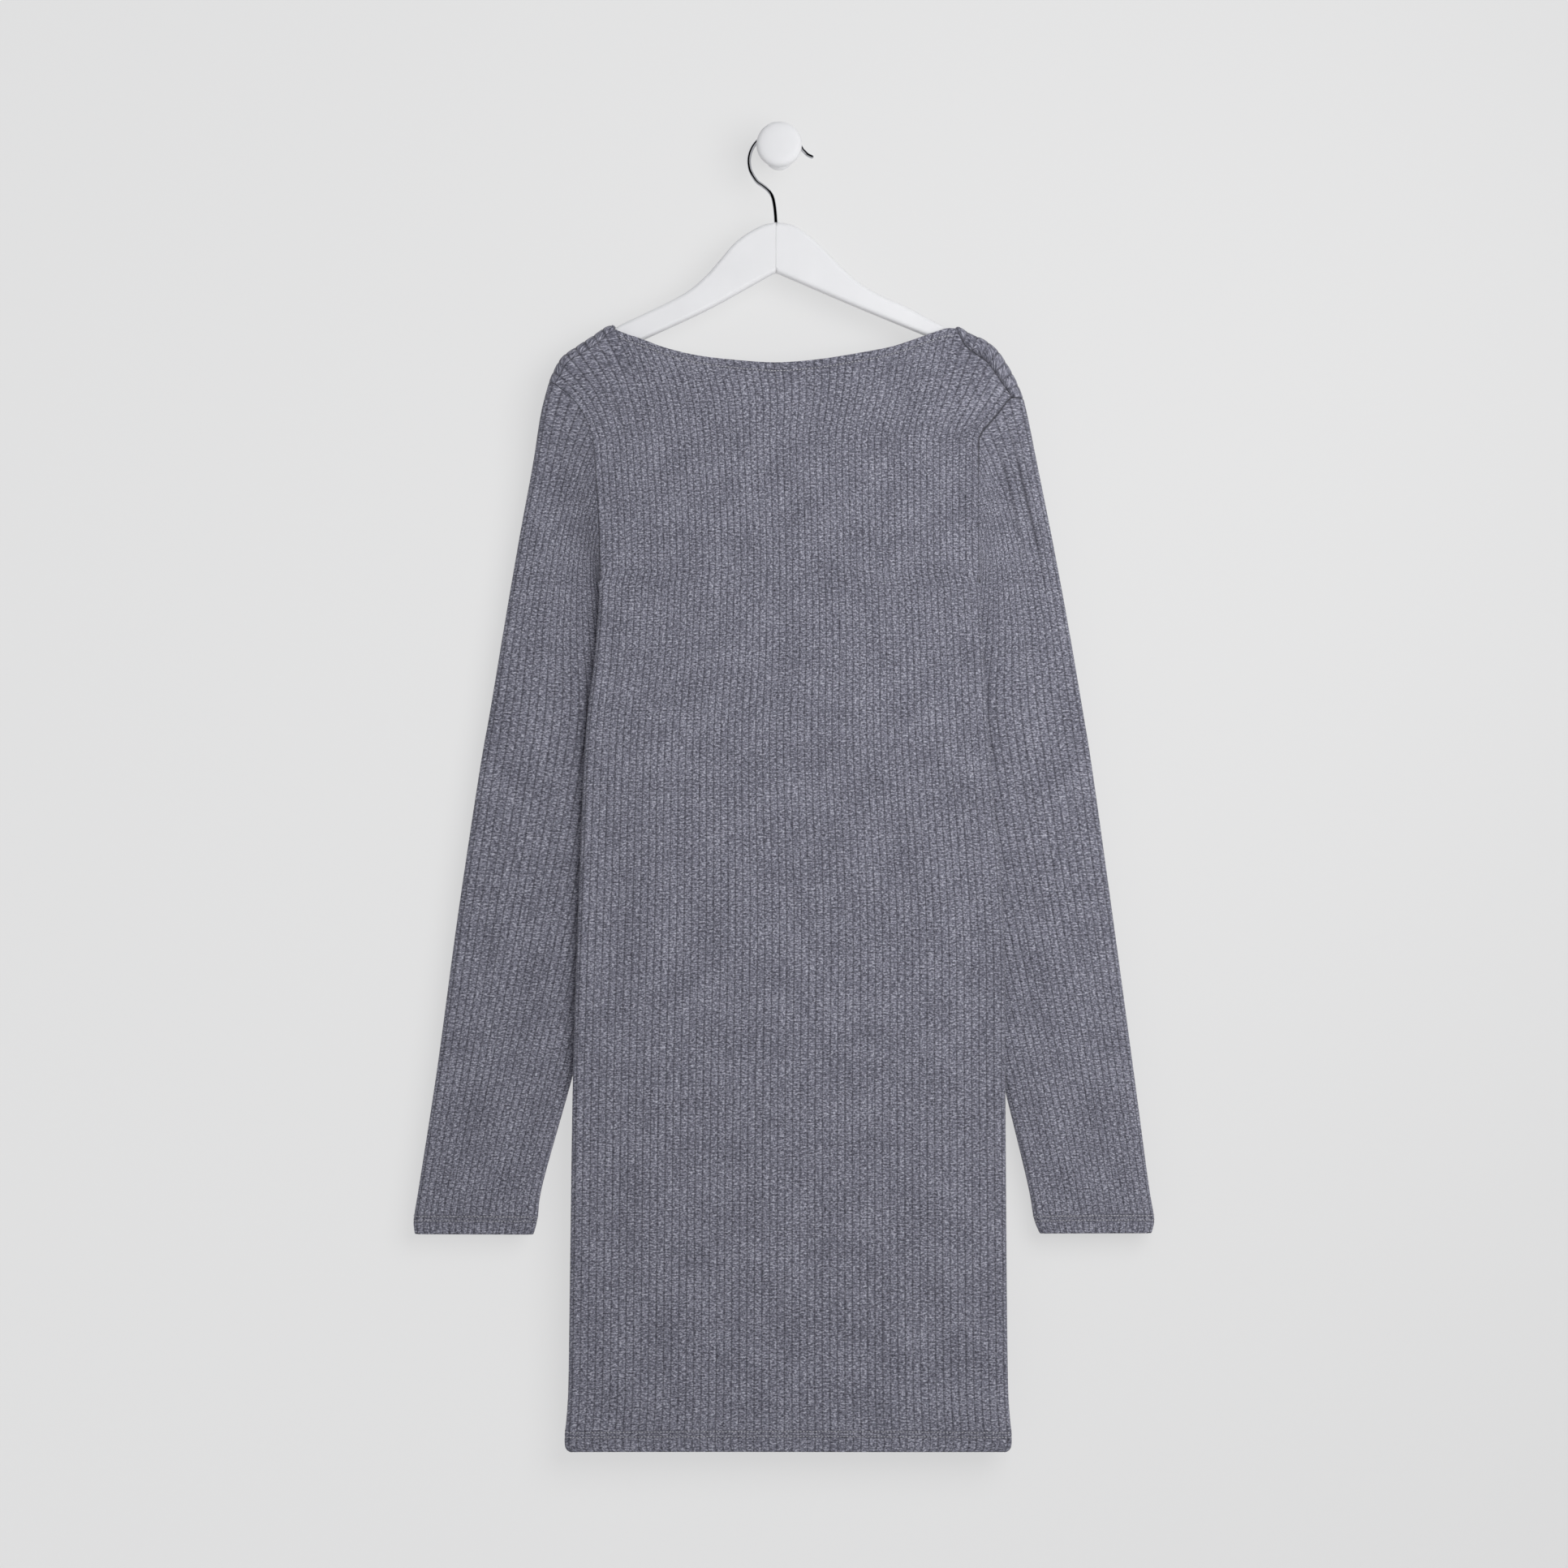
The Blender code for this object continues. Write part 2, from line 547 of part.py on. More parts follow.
def make_hanger(collection):
    """Hanger: a flat outline with rounded edges."""
    curve = bpy.data.curves.new("hanger", "CURVE")
    curve.dimensions = "2D"
    curve.fill_mode = "BOTH"
    curve.extrude = HANGER_THICKNESS / 2.0 * MM
    spline = curve.splines.new("POLY")
    spline.points.add(len(HANGER_OUTLINE) - 1)
    for point, (x, z) in zip(spline.points, HANGER_OUTLINE):
        point.co = (x * MM, z * MM, 0.0, 1.0)
    spline.use_cyclic_u = True
    hanger = bpy.data.objects.new("hanger", curve)
    hanger.location = (0.0, MIDDLE_PLANE * MM, 0.0)
    hanger.rotation_euler = (math.radians(90.0), 0.0, 0.0)
    place(hanger, collection, "painted_wood")
    weld = hanger.modifiers.new("weld", "WELD")
    weld.merge_threshold = MERGE
    rounding = hanger.modifiers.new("rounding", "BEVEL")
    rounding.width = HANGER_ROUNDING * MM
    rounding.segments = 2
    rounding.limit_method = "ANGLE"
    rounding.angle_limit = math.radians(HANGER_SHARPEST)
    return hanger


def make_hook(collection):
    """Hook: round wire along its shank, the arc over the knob and the tip."""
    start, end = HOOK_ARC
    angles = np.radians(np.linspace(start, end, HOOK_ARC_STEPS))
    middle_x, middle_z = HOOK_CENTRE
    arc = [(middle_x + HOOK_RADIUS * math.cos(a), middle_z + HOOK_RADIUS * math.sin(a)) for a in angles]
    route = HOOK_SHANK + arc + HOOK_TIP
    curve = bpy.data.curves.new("hanger_hook", "CURVE")
    curve.dimensions = "3D"
    curve.bevel_depth = WIRE_RADIUS * MM
    curve.bevel_resolution = 2
    curve.use_fill_caps = True
    spline = curve.splines.new("POLY")
    spline.points.add(len(route) - 1)
    for point, (x, z) in zip(spline.points, route):
        point.co = (x * MM, 0.0, z * MM, 1.0)
    hook = bpy.data.objects.new("hanger_hook", curve)
    hook.location = (0.0, MIDDLE_PLANE * MM, 0.0)
    return place(hook, collection, "chrome_wire")


def make_knob(collection):
    """Knob: its profile turned about the axis that stands on the wall."""
    mesh = bpy.data.meshes.new("wall_knob")
    profile = [(radius * MM, 0.0, -distance * MM) for radius, distance in KNOB_PROFILE]
    mesh.from_pydata(profile, [(k, k + 1) for k in range(len(profile) - 1)], [])
    knob = bpy.data.objects.new("wall_knob", mesh)
    knob.rotation_euler = (math.radians(-90.0), 0.0, 0.0)
    place(knob, collection, "painted_knob")
    screw = knob.modifiers.new("turn", "SCREW")
    screw.steps = KNOB_STEPS
    screw.render_steps = KNOB_STEPS
    screw.use_merge_vertices = True
    screw.merge_threshold = MERGE
    return knob


def main():
    """Build the whole part."""
    clear_scene()
    collection = bpy.data.collections.new(PART_NAME)
    bpy.context.scene.collection.children.link(collection)
    make_panel("back_panel", back_panel_grid(), -1.0, None, collection)
    front_grid, over_normals = front_panel_grid()
    make_panel("front_panel", front_grid, 1.0, over_normals, collection)
    make_sleeve("left", collection)
    make_sleeve("right", collection)
    make_hanger(collection)
    make_hook(collection)
    make_knob(collection)


main()
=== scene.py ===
# %% [markdown]
# # A long-sleeved rib-knit dress, hung flat from a wall knob
#
# The dress shows its back. It hangs on a white wooden hanger, whose chrome hook sits on a round white
# knob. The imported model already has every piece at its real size: plain closed walls for the cloth, a
# hanger, a wire and a knob. This script keeps those places and sizes, and gives each piece the form and
# finish that the eye expects: fine ribs, soft folds, turned and stitched edges, melange yarn, painted
# wood and polished wire.
#
# Lengths are in millimetres, as a dressmaker would note them, and become metres where a mesh is made.
# The origin is the middle of the knob's back face on the wall: X to the viewer's right, Y into the
# wall, Z up.

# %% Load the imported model
import math

import bpy
import numpy as np
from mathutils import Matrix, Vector


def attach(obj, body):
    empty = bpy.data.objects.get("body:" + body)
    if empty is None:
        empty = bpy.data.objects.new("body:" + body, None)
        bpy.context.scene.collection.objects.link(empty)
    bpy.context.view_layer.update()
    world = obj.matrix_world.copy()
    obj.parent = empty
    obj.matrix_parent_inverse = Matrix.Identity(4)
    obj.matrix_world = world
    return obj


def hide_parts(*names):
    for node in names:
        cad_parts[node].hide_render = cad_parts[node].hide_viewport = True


MM = 0.001
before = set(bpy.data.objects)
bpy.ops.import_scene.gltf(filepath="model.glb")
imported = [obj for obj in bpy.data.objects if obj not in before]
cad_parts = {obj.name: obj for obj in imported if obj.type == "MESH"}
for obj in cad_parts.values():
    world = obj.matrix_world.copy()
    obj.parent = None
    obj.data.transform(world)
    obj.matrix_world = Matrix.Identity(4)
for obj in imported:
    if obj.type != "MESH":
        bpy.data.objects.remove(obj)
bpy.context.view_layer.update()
print("nodes:", sorted(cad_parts))

# %% [markdown]
# ## Drawing smooth lines through a few points
#
# Pattern pieces are drafted by marking a few points and drawing a smooth line through them with a
# French curve. The numbers below are such points. A Catmull-Rom curve does the same: it passes through
# every point, and its direction at a point follows the points before and after. Reading it by its
# length, not by its parameter, keeps what is laid along it evenly spaced.

# %% Smooth lines through points
CURVE_STEPS = 10


def smooth(points):
    """Catmull-Rom curve through the points.

    Between two points the curve is a cubic whose slope at each end is half the step from the point
    before to the point after.
    """
    points = np.asarray(points, float)
    before = np.vstack([2.0 * points[:1] - points[1:2], points[:-1]])[:-1]
    after = np.vstack([points[1:], 2.0 * points[-1:] - points[-2:-1]])[1:]
    start, end = points[:-1], points[1:]
    t = np.linspace(0.0, 1.0, CURVE_STEPS, endpoint=False)[None, :, None]
    slope_in = (end - before)[:, None] / 2.0
    slope_out = (after - start)[:, None] / 2.0
    curve = ((2.0 * t**3 - 3.0 * t**2 + 1.0) * start[:, None] + (t**3 - 2.0 * t**2 + t) * slope_in
             + (3.0 * t**2 - 2.0 * t**3) * end[:, None] + (t**3 - t**2) * slope_out)
    return np.vstack([curve.reshape(-1, points.shape[1]), points[-1:]])


def run_lengths(points):
    """Length of a polyline from its first point to each of its points."""
    return np.append(0.0, np.cumsum(np.linalg.norm(np.diff(points, axis=0), axis=1)))


def read_at(places, lengths, values):
    """Rows of values at places along a line, each in proportion between its two neighbours."""
    return np.stack([np.interp(places, lengths, column) for column in values.T], axis=-1)


def along(points, fractions):
    """Points at the given fractions of a polyline's length."""
    points = np.asarray(points, float)
    lengths = run_lengths(points)
    return read_at(np.clip(fractions, 0.0, 1.0) * lengths[-1], lengths, points)


def unit(vectors):
    """Vectors divided by their length."""
    return vectors / np.maximum(np.linalg.norm(vectors, axis=-1, keepdims=True), 1e-9)


def soft_step(value, low, high):
    """0 below low, 1 above high, and the cubic 3t^2 - 2t^3 between."""
    t = np.clip((value - low) / (high - low), 0.0, 1.0)
    return t * t * (3.0 - 2.0 * t)


def in_space(flat, y):
    """Points in space from flat points (x, z) and the Y of each."""
    return np.stack([flat[..., 0], y, flat[..., 1]], axis=-1)


# %% [markdown]
# ## The flattened tube
#
# A dress on a hanger is a tube of cloth pressed nearly flat. Seen from above, each cross-section is two
# straight layers joined by a small rounded fold at either side. Working it out from the length of the
# cloth, and not from the width alone, keeps the ribs evenly spaced as they go round the fold.

# %% Sizes of the cloth and of the tube
WALL = 1.3
SEAM_GAP = 0.3
MIDDLE_PLANE = -30.0
HEM_LEAN, LEAN_FROM, LEAN_OVER = 1.5, 200.0, 760.0
WAVE_HEIGHT, WAVE_FROM, WAVE_OVER = 0.4, 230.0, 150.0
WAVE_ACROSS, WAVE_SLANT, WAVE_UP, WAVE_SHIFT = 47.0, 260.0, 150.0, 0.6
HALF_DEPTH_HANGER, HALF_DEPTH_BODY, SLEEVE_HALF_DEPTH = 8.0, 4.8, 4.4
DEPTH_CHANGE = (-262.0, -196.0)
FOLD = 4.5


def half_depth(z):
    """Half the body's depth: thin below, and wide enough for the hanger at the shoulders."""
    return np.interp(z, DEPTH_CHANGE, (HALF_DEPTH_BODY, HALF_DEPTH_HANGER))


def middle(x, z):
    """Y of the garment's middle plane: it leans in towards the wall and waves softly below the chest."""
    lean = HEM_LEAN * soft_step(-z, LEAN_FROM, LEAN_FROM + LEAN_OVER)
    grow = np.clip((-z - WAVE_FROM) / WAVE_OVER, 0.0, 1.0)
    wave = np.sin(x / WAVE_ACROSS + z / WAVE_SLANT) * np.cos(z / WAVE_UP + WAVE_SHIFT)
    return MIDDLE_PLANE + lean + WAVE_HEIGHT * grow * wave


def quarter(depth):
    """Length of a quarter of an ellipse of half axes FOLD and depth, by Ramanujan's rule."""
    total = FOLD + depth
    return math.pi / 4.0 * (3.0 * total - np.sqrt((3.0 * FOLD + depth) * (FOLD + 3.0 * depth)))


def round_fold(cloth, depth):
    """Across-distance and depth of a point this much cloth away from the fold's outermost line.

    Over the quarter ellipse across is FOLD (1 - cos a) and depth is depth times sin a. After it the
    cloth runs straight on.
    """
    reach = quarter(depth)
    angle = np.clip(cloth / reach, 0.0, 1.0) * math.pi / 2.0
    across = FOLD * (1.0 - np.cos(angle)) + np.maximum(cloth - reach, 0.0)
    return across, depth * np.sin(angle)


def flat_tube(fraction, width, depth):
    """Across-distance and depth on one side of a flattened tube, at fractions of its cloth."""
    cloth = width - 2.0 * FOLD + 2.0 * quarter(depth)
    from_start = fraction * cloth
    across_start, depth_start = round_fold(from_start, depth)
    across_end, depth_end = round_fold(cloth - from_start, depth)
    near_start = fraction < 0.5
    return (np.where(near_start, across_start, width - across_end),
            np.where(near_start, depth_start, depth_end))


# %% [markdown]
# ## Outlines of the body
#
# These points are the body's left and right edges from the hem up, the armhole seams, the shoulder
# seams with the fold that lies on the hanger, and the two neck edges. The back neck is a wide, shallow
# boat neck. The front neck, which the back hides, is a lower scoop.

# %% Outline points of the body
BODY_EDGES = np.array([
    # z, left x, right x
    (-965.1, -155.2, 168.6), (-961.6, -158, 171.3), (-950, -158.2, 171.6), (-938, -157, 170.4),
    (-912, -155.8, 169.2), (-827.4, -154.6, 168.2), (-683.4, -152.4, 167.1), (-569.4, -148.8, 165.6),
    (-439.8, -143.4, 154.8), (-375.6, -136.2, 151.2), (-323.4, -132.6, 147.9), (-314, -132.6, 147.8),
    (-270, -133.8, 147.3), (-216, -137.4, 147.6),
])
CLOSED_BELOW = -320.0
ARMHOLE = {
    "left": [(-137.4, -216), (-142.2, -202), (-149.4, -190), (-157.8, -181.8), (-165.9, -175.8)],
    "right": [(147.6, -216), (150.5, -210), (157.4, -202.4), (163, -195.6), (168.5, -188.3),
              (172, -185.6)],
}
SHOULDER = {
    # fold x, fold z, seam x, seam z
    "left": [(-170.4, -174.6, -165.9, -175.8), (-167.4, -166.8, -162.6, -170),
             (-160.8, -155.4, -156.6, -159.8), (-150, -147.4, -146.6, -153.2),
             (-138, -139.6, -134.8, -145.8), (-129, -133.4, -126.6, -138.6),
             (-123.8, -131.7, -121, -135.2)],
    "right": [(180.6, -186, 172, -185.6), (175.2, -172.8, 166.5, -177.3),
              (168, -159.6, 159.5, -167), (160.8, -149.4, 153.2, -159),
              (151.2, -142, 146.2, -154), (142, -138.2, 137.6, -147.4),
              (134, -133.2, 131.2, -134.8)],
}
BACK_NECK = [(-121, -135.2), (-114, -138.2), (-102, -142.2), (-84, -148.8), (-61.8, -154.2),
             (-36, -157.5), (-7.2, -159.6), (12, -159), (34.8, -156.6), (65.4, -151.5),
             (84.6, -147.6), (102.6, -141.6), (117.6, -136.4), (124.8, -134.4), (131.2, -134.8)]
FRONT_NECK = [(-116, -146), (-109, -152), (-99, -160.5), (-87, -169.5), (-66, -181.8),
              (-42, -190.8), (4.8, -194.4), (49, -190.8), (74, -181.8), (96, -169.5),
              (108, -160.5), (118, -152), (125.3, -146.5)]
CROSSING = {
    # ribs past the shoulder, fold x, fold z, share of the way over the fold
    "left": [(0, -123.8, -131.7, 0), (0.8, -121.6, -132.2, 0.5), (1.6, -119.6, -135, 1),
             (3, -116, -141.5, 1)],
    "right": [(0, 134, -133.2, 0), (0.8, 131, -132.8, 0.5), (1.6, 128, -134.6, 1),
              (3, 125.3, -142, 1)],
}

# %% [markdown]
# ## Ribs as columns
#
# A rib knit is ridges of knit stitches parted by narrow grooves of purl stitches. The ridges are wide
# and flat here, and 4.8 mm apart. Each ridge gets five columns of the grid, close together at the
# groove and far apart on the flat top, so that a few columns draw a crisp groove. One coordinate, the
# rib number, runs across the panel, and every other function reads it.

# %% Rib columns and rib height
BODY_RIBS, SHOULDER_RIBS, CROSSING_RIBS, SLEEVE_RIBS = 59, 8, 3, 40
RIB_HEIGHT = 0.55
RIB_COLUMNS = np.array([0.0, 0.13, 0.34, 0.66, 0.87])
RIB_LIFT = np.array([0.0, 0.82, 1.0, 1.0, 0.82])


def rib_numbers(ribs, closed):
    """Rib coordinate of each column, and how high the rib stands there, from 0 to 1."""
    numbers = (np.arange(ribs)[:, None] + RIB_COLUMNS[None, :]).ravel()
    lift = np.tile(RIB_LIFT, ribs)
    return (numbers, lift) if closed else (np.append(numbers, ribs), np.append(lift, 0.0))


body_ribs, body_lift = rib_numbers(BODY_RIBS, False)
sleeve_ribs, sleeve_lift = rib_numbers(SLEEVE_RIBS, True)
print("columns on a body panel:", len(body_ribs), "and on a sleeve:", len(sleeve_ribs))

# %% [markdown]
# ## Rows of the body
#
# Rows are close together where something small happens, at the hem and under the neck edge, and about
# a centimetre apart on the plain cloth between. From the underarm up, the panel is open at the sides,
# because the armhole seam runs there. Above the last level row, a Coons patch fills the shoulder: it
# blends the four edges, so each rib leans as it must to reach the neck or the shoulder seam.

# %% Body panel rows
HEM_ROWS = np.arange(-965.1, -945.0, 1.25)
SKIRT_ROWS = np.arange(-944.0, -330.0, 9.2)
CHEST_ROWS = np.concatenate([[-323.4], np.arange(-314.0, -215.0, 7.0)])
LOWER_HEIGHTS = np.concatenate([HEM_ROWS, SKIRT_ROWS, CHEST_ROWS])
SHOULDER_FRACTIONS = np.concatenate([np.linspace(0.08, 0.84, 11), np.linspace(0.862, 0.985, 8),
                                     [0.9915, 0.996, 1.0]])


def lower_rows(side):
    """Grid of a panel from the hem to the armhole; side is -1 towards the viewer and 1 to the wall."""
    edges = smooth(BODY_EDGES)
    left, right = read_at(LOWER_HEIGHTS, edges[:, 0], edges[:, 1:]).T[:, :, None]
    closed = (LOWER_HEIGHTS < CLOSED_BELOW)[:, None]
    u = body_ribs[None, :] / BODY_RIBS
    z = LOWER_HEIGHTS[:, None] + 0.0 * u
    depth = half_depth(z)
    across, out = flat_tube(u + 0.0 * z, right - left, depth)
    x = left + np.where(closed, across, u * (right - left))
    out = np.where(closed, out, depth)
    y = middle(x, z) + side * np.maximum(out, SEAM_GAP / 2.0)
    return np.stack([x, y, z], axis=-1)


def shoulder_line(hand, ribs):
    """Fold points and seam points of one shoulder at ribs counted from the armhole."""
    return along(smooth(SHOULDER[hand]), ribs / SHOULDER_RIBS)


NECK_RIBS = BODY_RIBS - 2 * SHOULDER_RIBS
on_left, on_right = body_ribs <= SHOULDER_RIBS, body_ribs >= BODY_RIBS - SHOULDER_RIBS
on_neck = ~(on_left | on_right)
neck_ribs = body_ribs[on_neck] - SHOULDER_RIBS
shoulder_left = shoulder_line("left", body_ribs[on_left])
shoulder_right = shoulder_line("right", BODY_RIBS - body_ribs[on_right])


def coons(bottom, top, left, right, rows):
    """Rows of a patch: the blend of the sides, plus the blend of the ends, less that of the corners."""
    u = (body_ribs / BODY_RIBS)[None, :, None]
    w = rows[:, None, None]
    sides = (1.0 - u) * left[:, None, :] + u * right[:, None, :]
    ends = (1.0 - w) * bottom[None] + w * top[None]
    corners = ((1.0 - u) * (1.0 - w) * bottom[0] + u * (1.0 - w) * bottom[-1]
               + (1.0 - u) * w * top[0] + u * w * top[-1])
    return sides + ends - corners


def filled(low, top, shift, rows):
    """The patch from the last level row to the top; the armhole seams move inwards by the shift."""
    edges = []
    for hand, end, way in (("left", top[:1], 1.0), ("right", top[-1:], -1.0)):
        seam = np.array(ARMHOLE[hand])[:-1]
        seam[1:, 0] += way * shift
        edges.append(along(np.vstack([seam, end]), rows))
    return coons(low[-1][:, [0, 2]], top, *edges, rows)


def on_side(flat, side):
    """Flat points set half the body's depth away from its middle plane."""
    x, z = flat[..., 0], flat[..., 1]
    return in_space(flat, middle(x, z) + side * half_depth(z))


def back_panel_grid():
    """The back panel: hem to armhole, then up to the shoulder seams and the neck edge."""
    low = lower_rows(-1.0)
    seams = [line[:, 2:] + SEAM_GAP * unit(line[:, 2:] - line[:, :2])
             for line in (shoulder_left, shoulder_right)]
    top = np.concatenate([seams[0], along(smooth(BACK_NECK), neck_ribs / NECK_RIBS), seams[1]])
    return np.concatenate([low, on_side(filled(low, top, 0.0, SHOULDER_FRACTIONS), -1.0)])


back_grid = back_panel_grid()
print("back panel grid:", back_grid.shape[:2])

# %% [markdown]
# ## The front panel goes over the hanger
#
# The shoulder seams sit a little behind the top fold, so the front panel comes up on the wall side,
# bends over the hanger and ends on the viewer's side. At the neck it drops to the scoop. The distance
# of cloth past the fold is the variable: positive on the wall side, negative after the bend.

# %% Front panel rows
FRONT_MARGIN = 8.0
ARMHOLE_SHIFT = 1.2
FRONT_FRACTIONS = np.linspace(0.08, 1.0, 14)
OVER_FRACTIONS = np.linspace(0.1, 1.0, 10)


def seam_cloth(columns):
    """Cloth between the fold over the hanger and the shoulder seam: the inverse of round_fold."""
    across = np.linalg.norm(columns[:, 2:] - columns[:, :2], axis=1)
    reach = quarter(HALF_DEPTH_HANGER)
    angle = np.arccos(np.clip(1.0 - across / FOLD, 0.0, 1.0))
    return np.where(across < FOLD, reach * angle / (math.pi / 2.0), reach + across - FOLD)


def crossing(hand, steps, lean, cloth_at_neck):
    """Fold points, inward directions and cloth where the neck edge crosses the fold in a few ribs.

    The fold points are read from the table. By the table's share, the way inward turns from the
    shoulder's lean to straight down, and the cloth grows from the seam's to the whole quarter fold.
    """
    ribs, x, z, share = np.array(CROSSING[hand]).T
    part = np.interp(steps, ribs, share)
    fold = np.stack([np.interp(steps, ribs, x), np.interp(steps, ribs, z)], axis=-1)
    inward = unit(lean + (np.array([0.0, -1.0]) - lean) * part[:, None])
    return fold, inward, cloth_at_neck + (quarter(HALF_DEPTH_HANGER) - cloth_at_neck) * part


def front_panel_grid():
    """The front panel and the exact normals of its rows over the hanger."""
    low = lower_rows(1.0)
    left, right = shoulder_left, shoulder_right
    cloth_left, cloth_right = -seam_cloth(left), -seam_cloth(right)
    from_right = NECK_RIBS - neck_ribs
    first, last = neck_ribs < CROSSING_RIBS, from_right < CROSSING_RIBS
    scoop_part = (neck_ribs[~first & ~last] - CROSSING_RIBS) / (NECK_RIBS - 2 * CROSSING_RIBS)
    scoop = along(smooth(FRONT_NECK), scoop_part)
    down = np.tile([0.0, -1.0], (len(scoop), 1))
    lean_left, lean_right = unit(left[:, 2:] - left[:, :2]), unit(right[:, 2:] - right[:, :2])
    fold_a, inward_a, cloth_a = crossing("left", neck_ribs[first], lean_left[-1], cloth_left[-1])
    fold_b, inward_b, cloth_b = crossing("right", from_right[last], lean_right[0], cloth_right[0])
    fold = np.concatenate([left[:, :2], fold_a, scoop - FOLD * down, fold_b, right[:, :2]])
    inward = np.concatenate([lean_left, inward_a, down, inward_b, lean_right])
    full = quarter(HALF_DEPTH_HANGER)
    last_cloth = np.concatenate([cloth_left, cloth_a, np.full(len(scoop), full), cloth_b, cloth_right])
    top = fold + inward * (FOLD + FRONT_MARGIN)
    high = on_side(filled(low, top, ARMHOLE_SHIFT, FRONT_FRACTIONS), 1.0)
    start = full + FRONT_MARGIN
    cloth = start + (last_cloth - start)[None, :] * OVER_FRACTIONS[:, None]
    across, depth = round_fold(np.abs(cloth), HALF_DEPTH_HANGER)
    over = in_space(fold + inward * across[..., None], MIDDLE_PLANE + np.sign(cloth) * depth)
    angle = np.clip(np.abs(cloth) / full, 0.0, 1.0) * math.pi / 2.0
    outward = -inward * (HALF_DEPTH_HANGER * np.cos(angle))[..., None]
    normals = unit(in_space(outward, np.sign(cloth) * FOLD * np.sin(angle)))
    return np.concatenate([low, high, over]), normals


front_grid, over_normals = front_panel_grid()
print("front panel grid:", front_grid.shape[:2])

# %% [markdown]
# ## Sleeves behind the body
#
# Each sleeve is a narrow flattened tube that starts at the armhole seam, drops behind the body and
# comes out again beside the skirt. A section is a straight line from its outer fold to its inner fold,
# except near the armhole, where it keeps part of the seam's bend. The bow column says how much.

# %% Sleeve sections
SLEEVE = {
    "left": [
        # outer x, outer z, inner x, inner z, behind the middle plane, bow
        (-170.8, -175.2, -133.2, -324.6, 0, 1), (-176.4, -197, -131.5, -330, 3, 0.72),
        (-182.6, -234, -128, -337, 7.6, 0.4), (-192, -283.2, -120, -350, 10.9, 0.15),
        (-203, -347, -108, -376, 10.9, 0), (-214.5, -416, -95.4, -410, 10.9, 0),
        (-222.6, -462, -98.4, -456, 10.9, 0), (-238.8, -569.4, -123, -569.4, 10.9, 0),
        (-253.8, -680.4, -152.4, -682.2, 10.9, 0), (-267, -766.2, -175.8, -766.2, 10.9, 0),
        (-271.2, -793, -180, -792, 10.9, 0), (-270.6, -805.5, -183.4, -805.8, 10.9, 0),
    ],
    "right": [
        (180.6, -186.6, 148.8, -324.6, 0, 1), (184.8, -203, 146.6, -330, 3, 0.72),
        (191.6, -235, 143, -337, 7.6, 0.4), (201.6, -283.2, 134.5, -350, 10.9, 0.15),
        (213.6, -347, 122.4, -376, 10.9, 0), (225.4, -416, 109.2, -410, 10.9, 0),
        (232.8, -462, 114, -456, 10.9, 0), (247.8, -569.4, 136.8, -569.4, 10.9, 0),
        (262.8, -680.4, 164.4, -682.2, 10.9, 0), (274.2, -766.2, 184.8, -766.2, 10.9, 0),
        (278.4, -793, 189.6, -792, 10.9, 0), (276.6, -804.8, 194.4, -805, 10.9, 0),
    ],
}
SLEEVE_ROWS = np.concatenate([[0.0, 0.0012, 0.0026, 0.005], np.linspace(0.0115, 0.955, 83),
                              np.linspace(0.962, 1.0, 16)])
SEAM_FRACTIONS = np.linspace(0.05, 1.0, 20)


def armhole_line(hand):
    """The armhole seam from the underarm to the end of the shoulder, with its way outwards."""
    sign = -1.0 if hand == "left" else 1.0
    edges = BODY_EDGES[BODY_EDGES[:, 0] >= CHEST_ROWS[0]]
    side = np.stack([edges[:, 1 if hand == "left" else 2], edges[:, 0]], axis=-1)
    line = np.vstack([side, along(ARMHOLE[hand], SEAM_FRACTIONS), [SHOULDER[hand][0][:2]]])
    direction = unit(np.gradient(line, axis=0))
    outward = sign * np.stack([direction[:, 1], -direction[:, 0]], axis=-1)
    return line, outward


def sleeve_grid(hand):
    """A sleeve: rows from the armhole seam to the cuff, each a flattened tube closed round.

    A point of a section is inner + s (outer - inner) + bow times the seam's bend at s, where s is the
    share of the section's width that the flattened tube gives.
    """
    seam, outward = armhole_line(hand)
    sections = np.array(SLEEVE[hand])
    sections[0, :4] = [*seam[-1], *seam[0]]
    table = along(smooth(sections), SLEEVE_ROWS)
    outer, inner = table[:, None, 0:2], table[:, None, 2:4]
    back, bow = table[:, None, 4], np.clip(table[:, None, 5], 0.0, 1.0)
    lengths = run_lengths(seam)
    width = np.linalg.norm(outer - inner, axis=-1)
    width = width + bow * (lengths[-1] - width)
    half = SLEEVE_RIBS / 2
    sides, first_share = [], []
    for side, fraction in ((-1.0, sleeve_ribs[sleeve_ribs < half] / half),
                           (1.0, 2.0 - sleeve_ribs[sleeve_ribs >= half] / half)):
        fraction = fraction[None, :]
        height = inner[..., 1] + (outer[..., 1] - inner[..., 1]) * fraction
        depth = bow * half_depth(height) + (1.0 - bow) * SLEEVE_HALF_DEPTH
        across, out = flat_tube(fraction + 0.0 * depth, width, depth)
        share = across / width
        straight = seam[0] + share[..., None] * (seam[-1] - seam[0])
        bent = along(seam, share) - straight
        flat = inner + share[..., None] * (outer - inner) + bow[..., None] * bent
        sides.append(in_space(flat, middle(flat[..., 0], flat[..., 1]) + back + side * out))
        first_share.append(share[0])
    across_seam = read_at(np.concatenate(first_share) * lengths[-1], lengths, outward)
    return np.concatenate(sides, axis=1), unit(in_space(across_seam, 0.0 * across_seam[:, 0]))


sleeve_grids = {hand: sleeve_grid(hand) for hand in ("left", "right")}
print("sleeve grid:", sleeve_grids["left"][0].shape[:2])

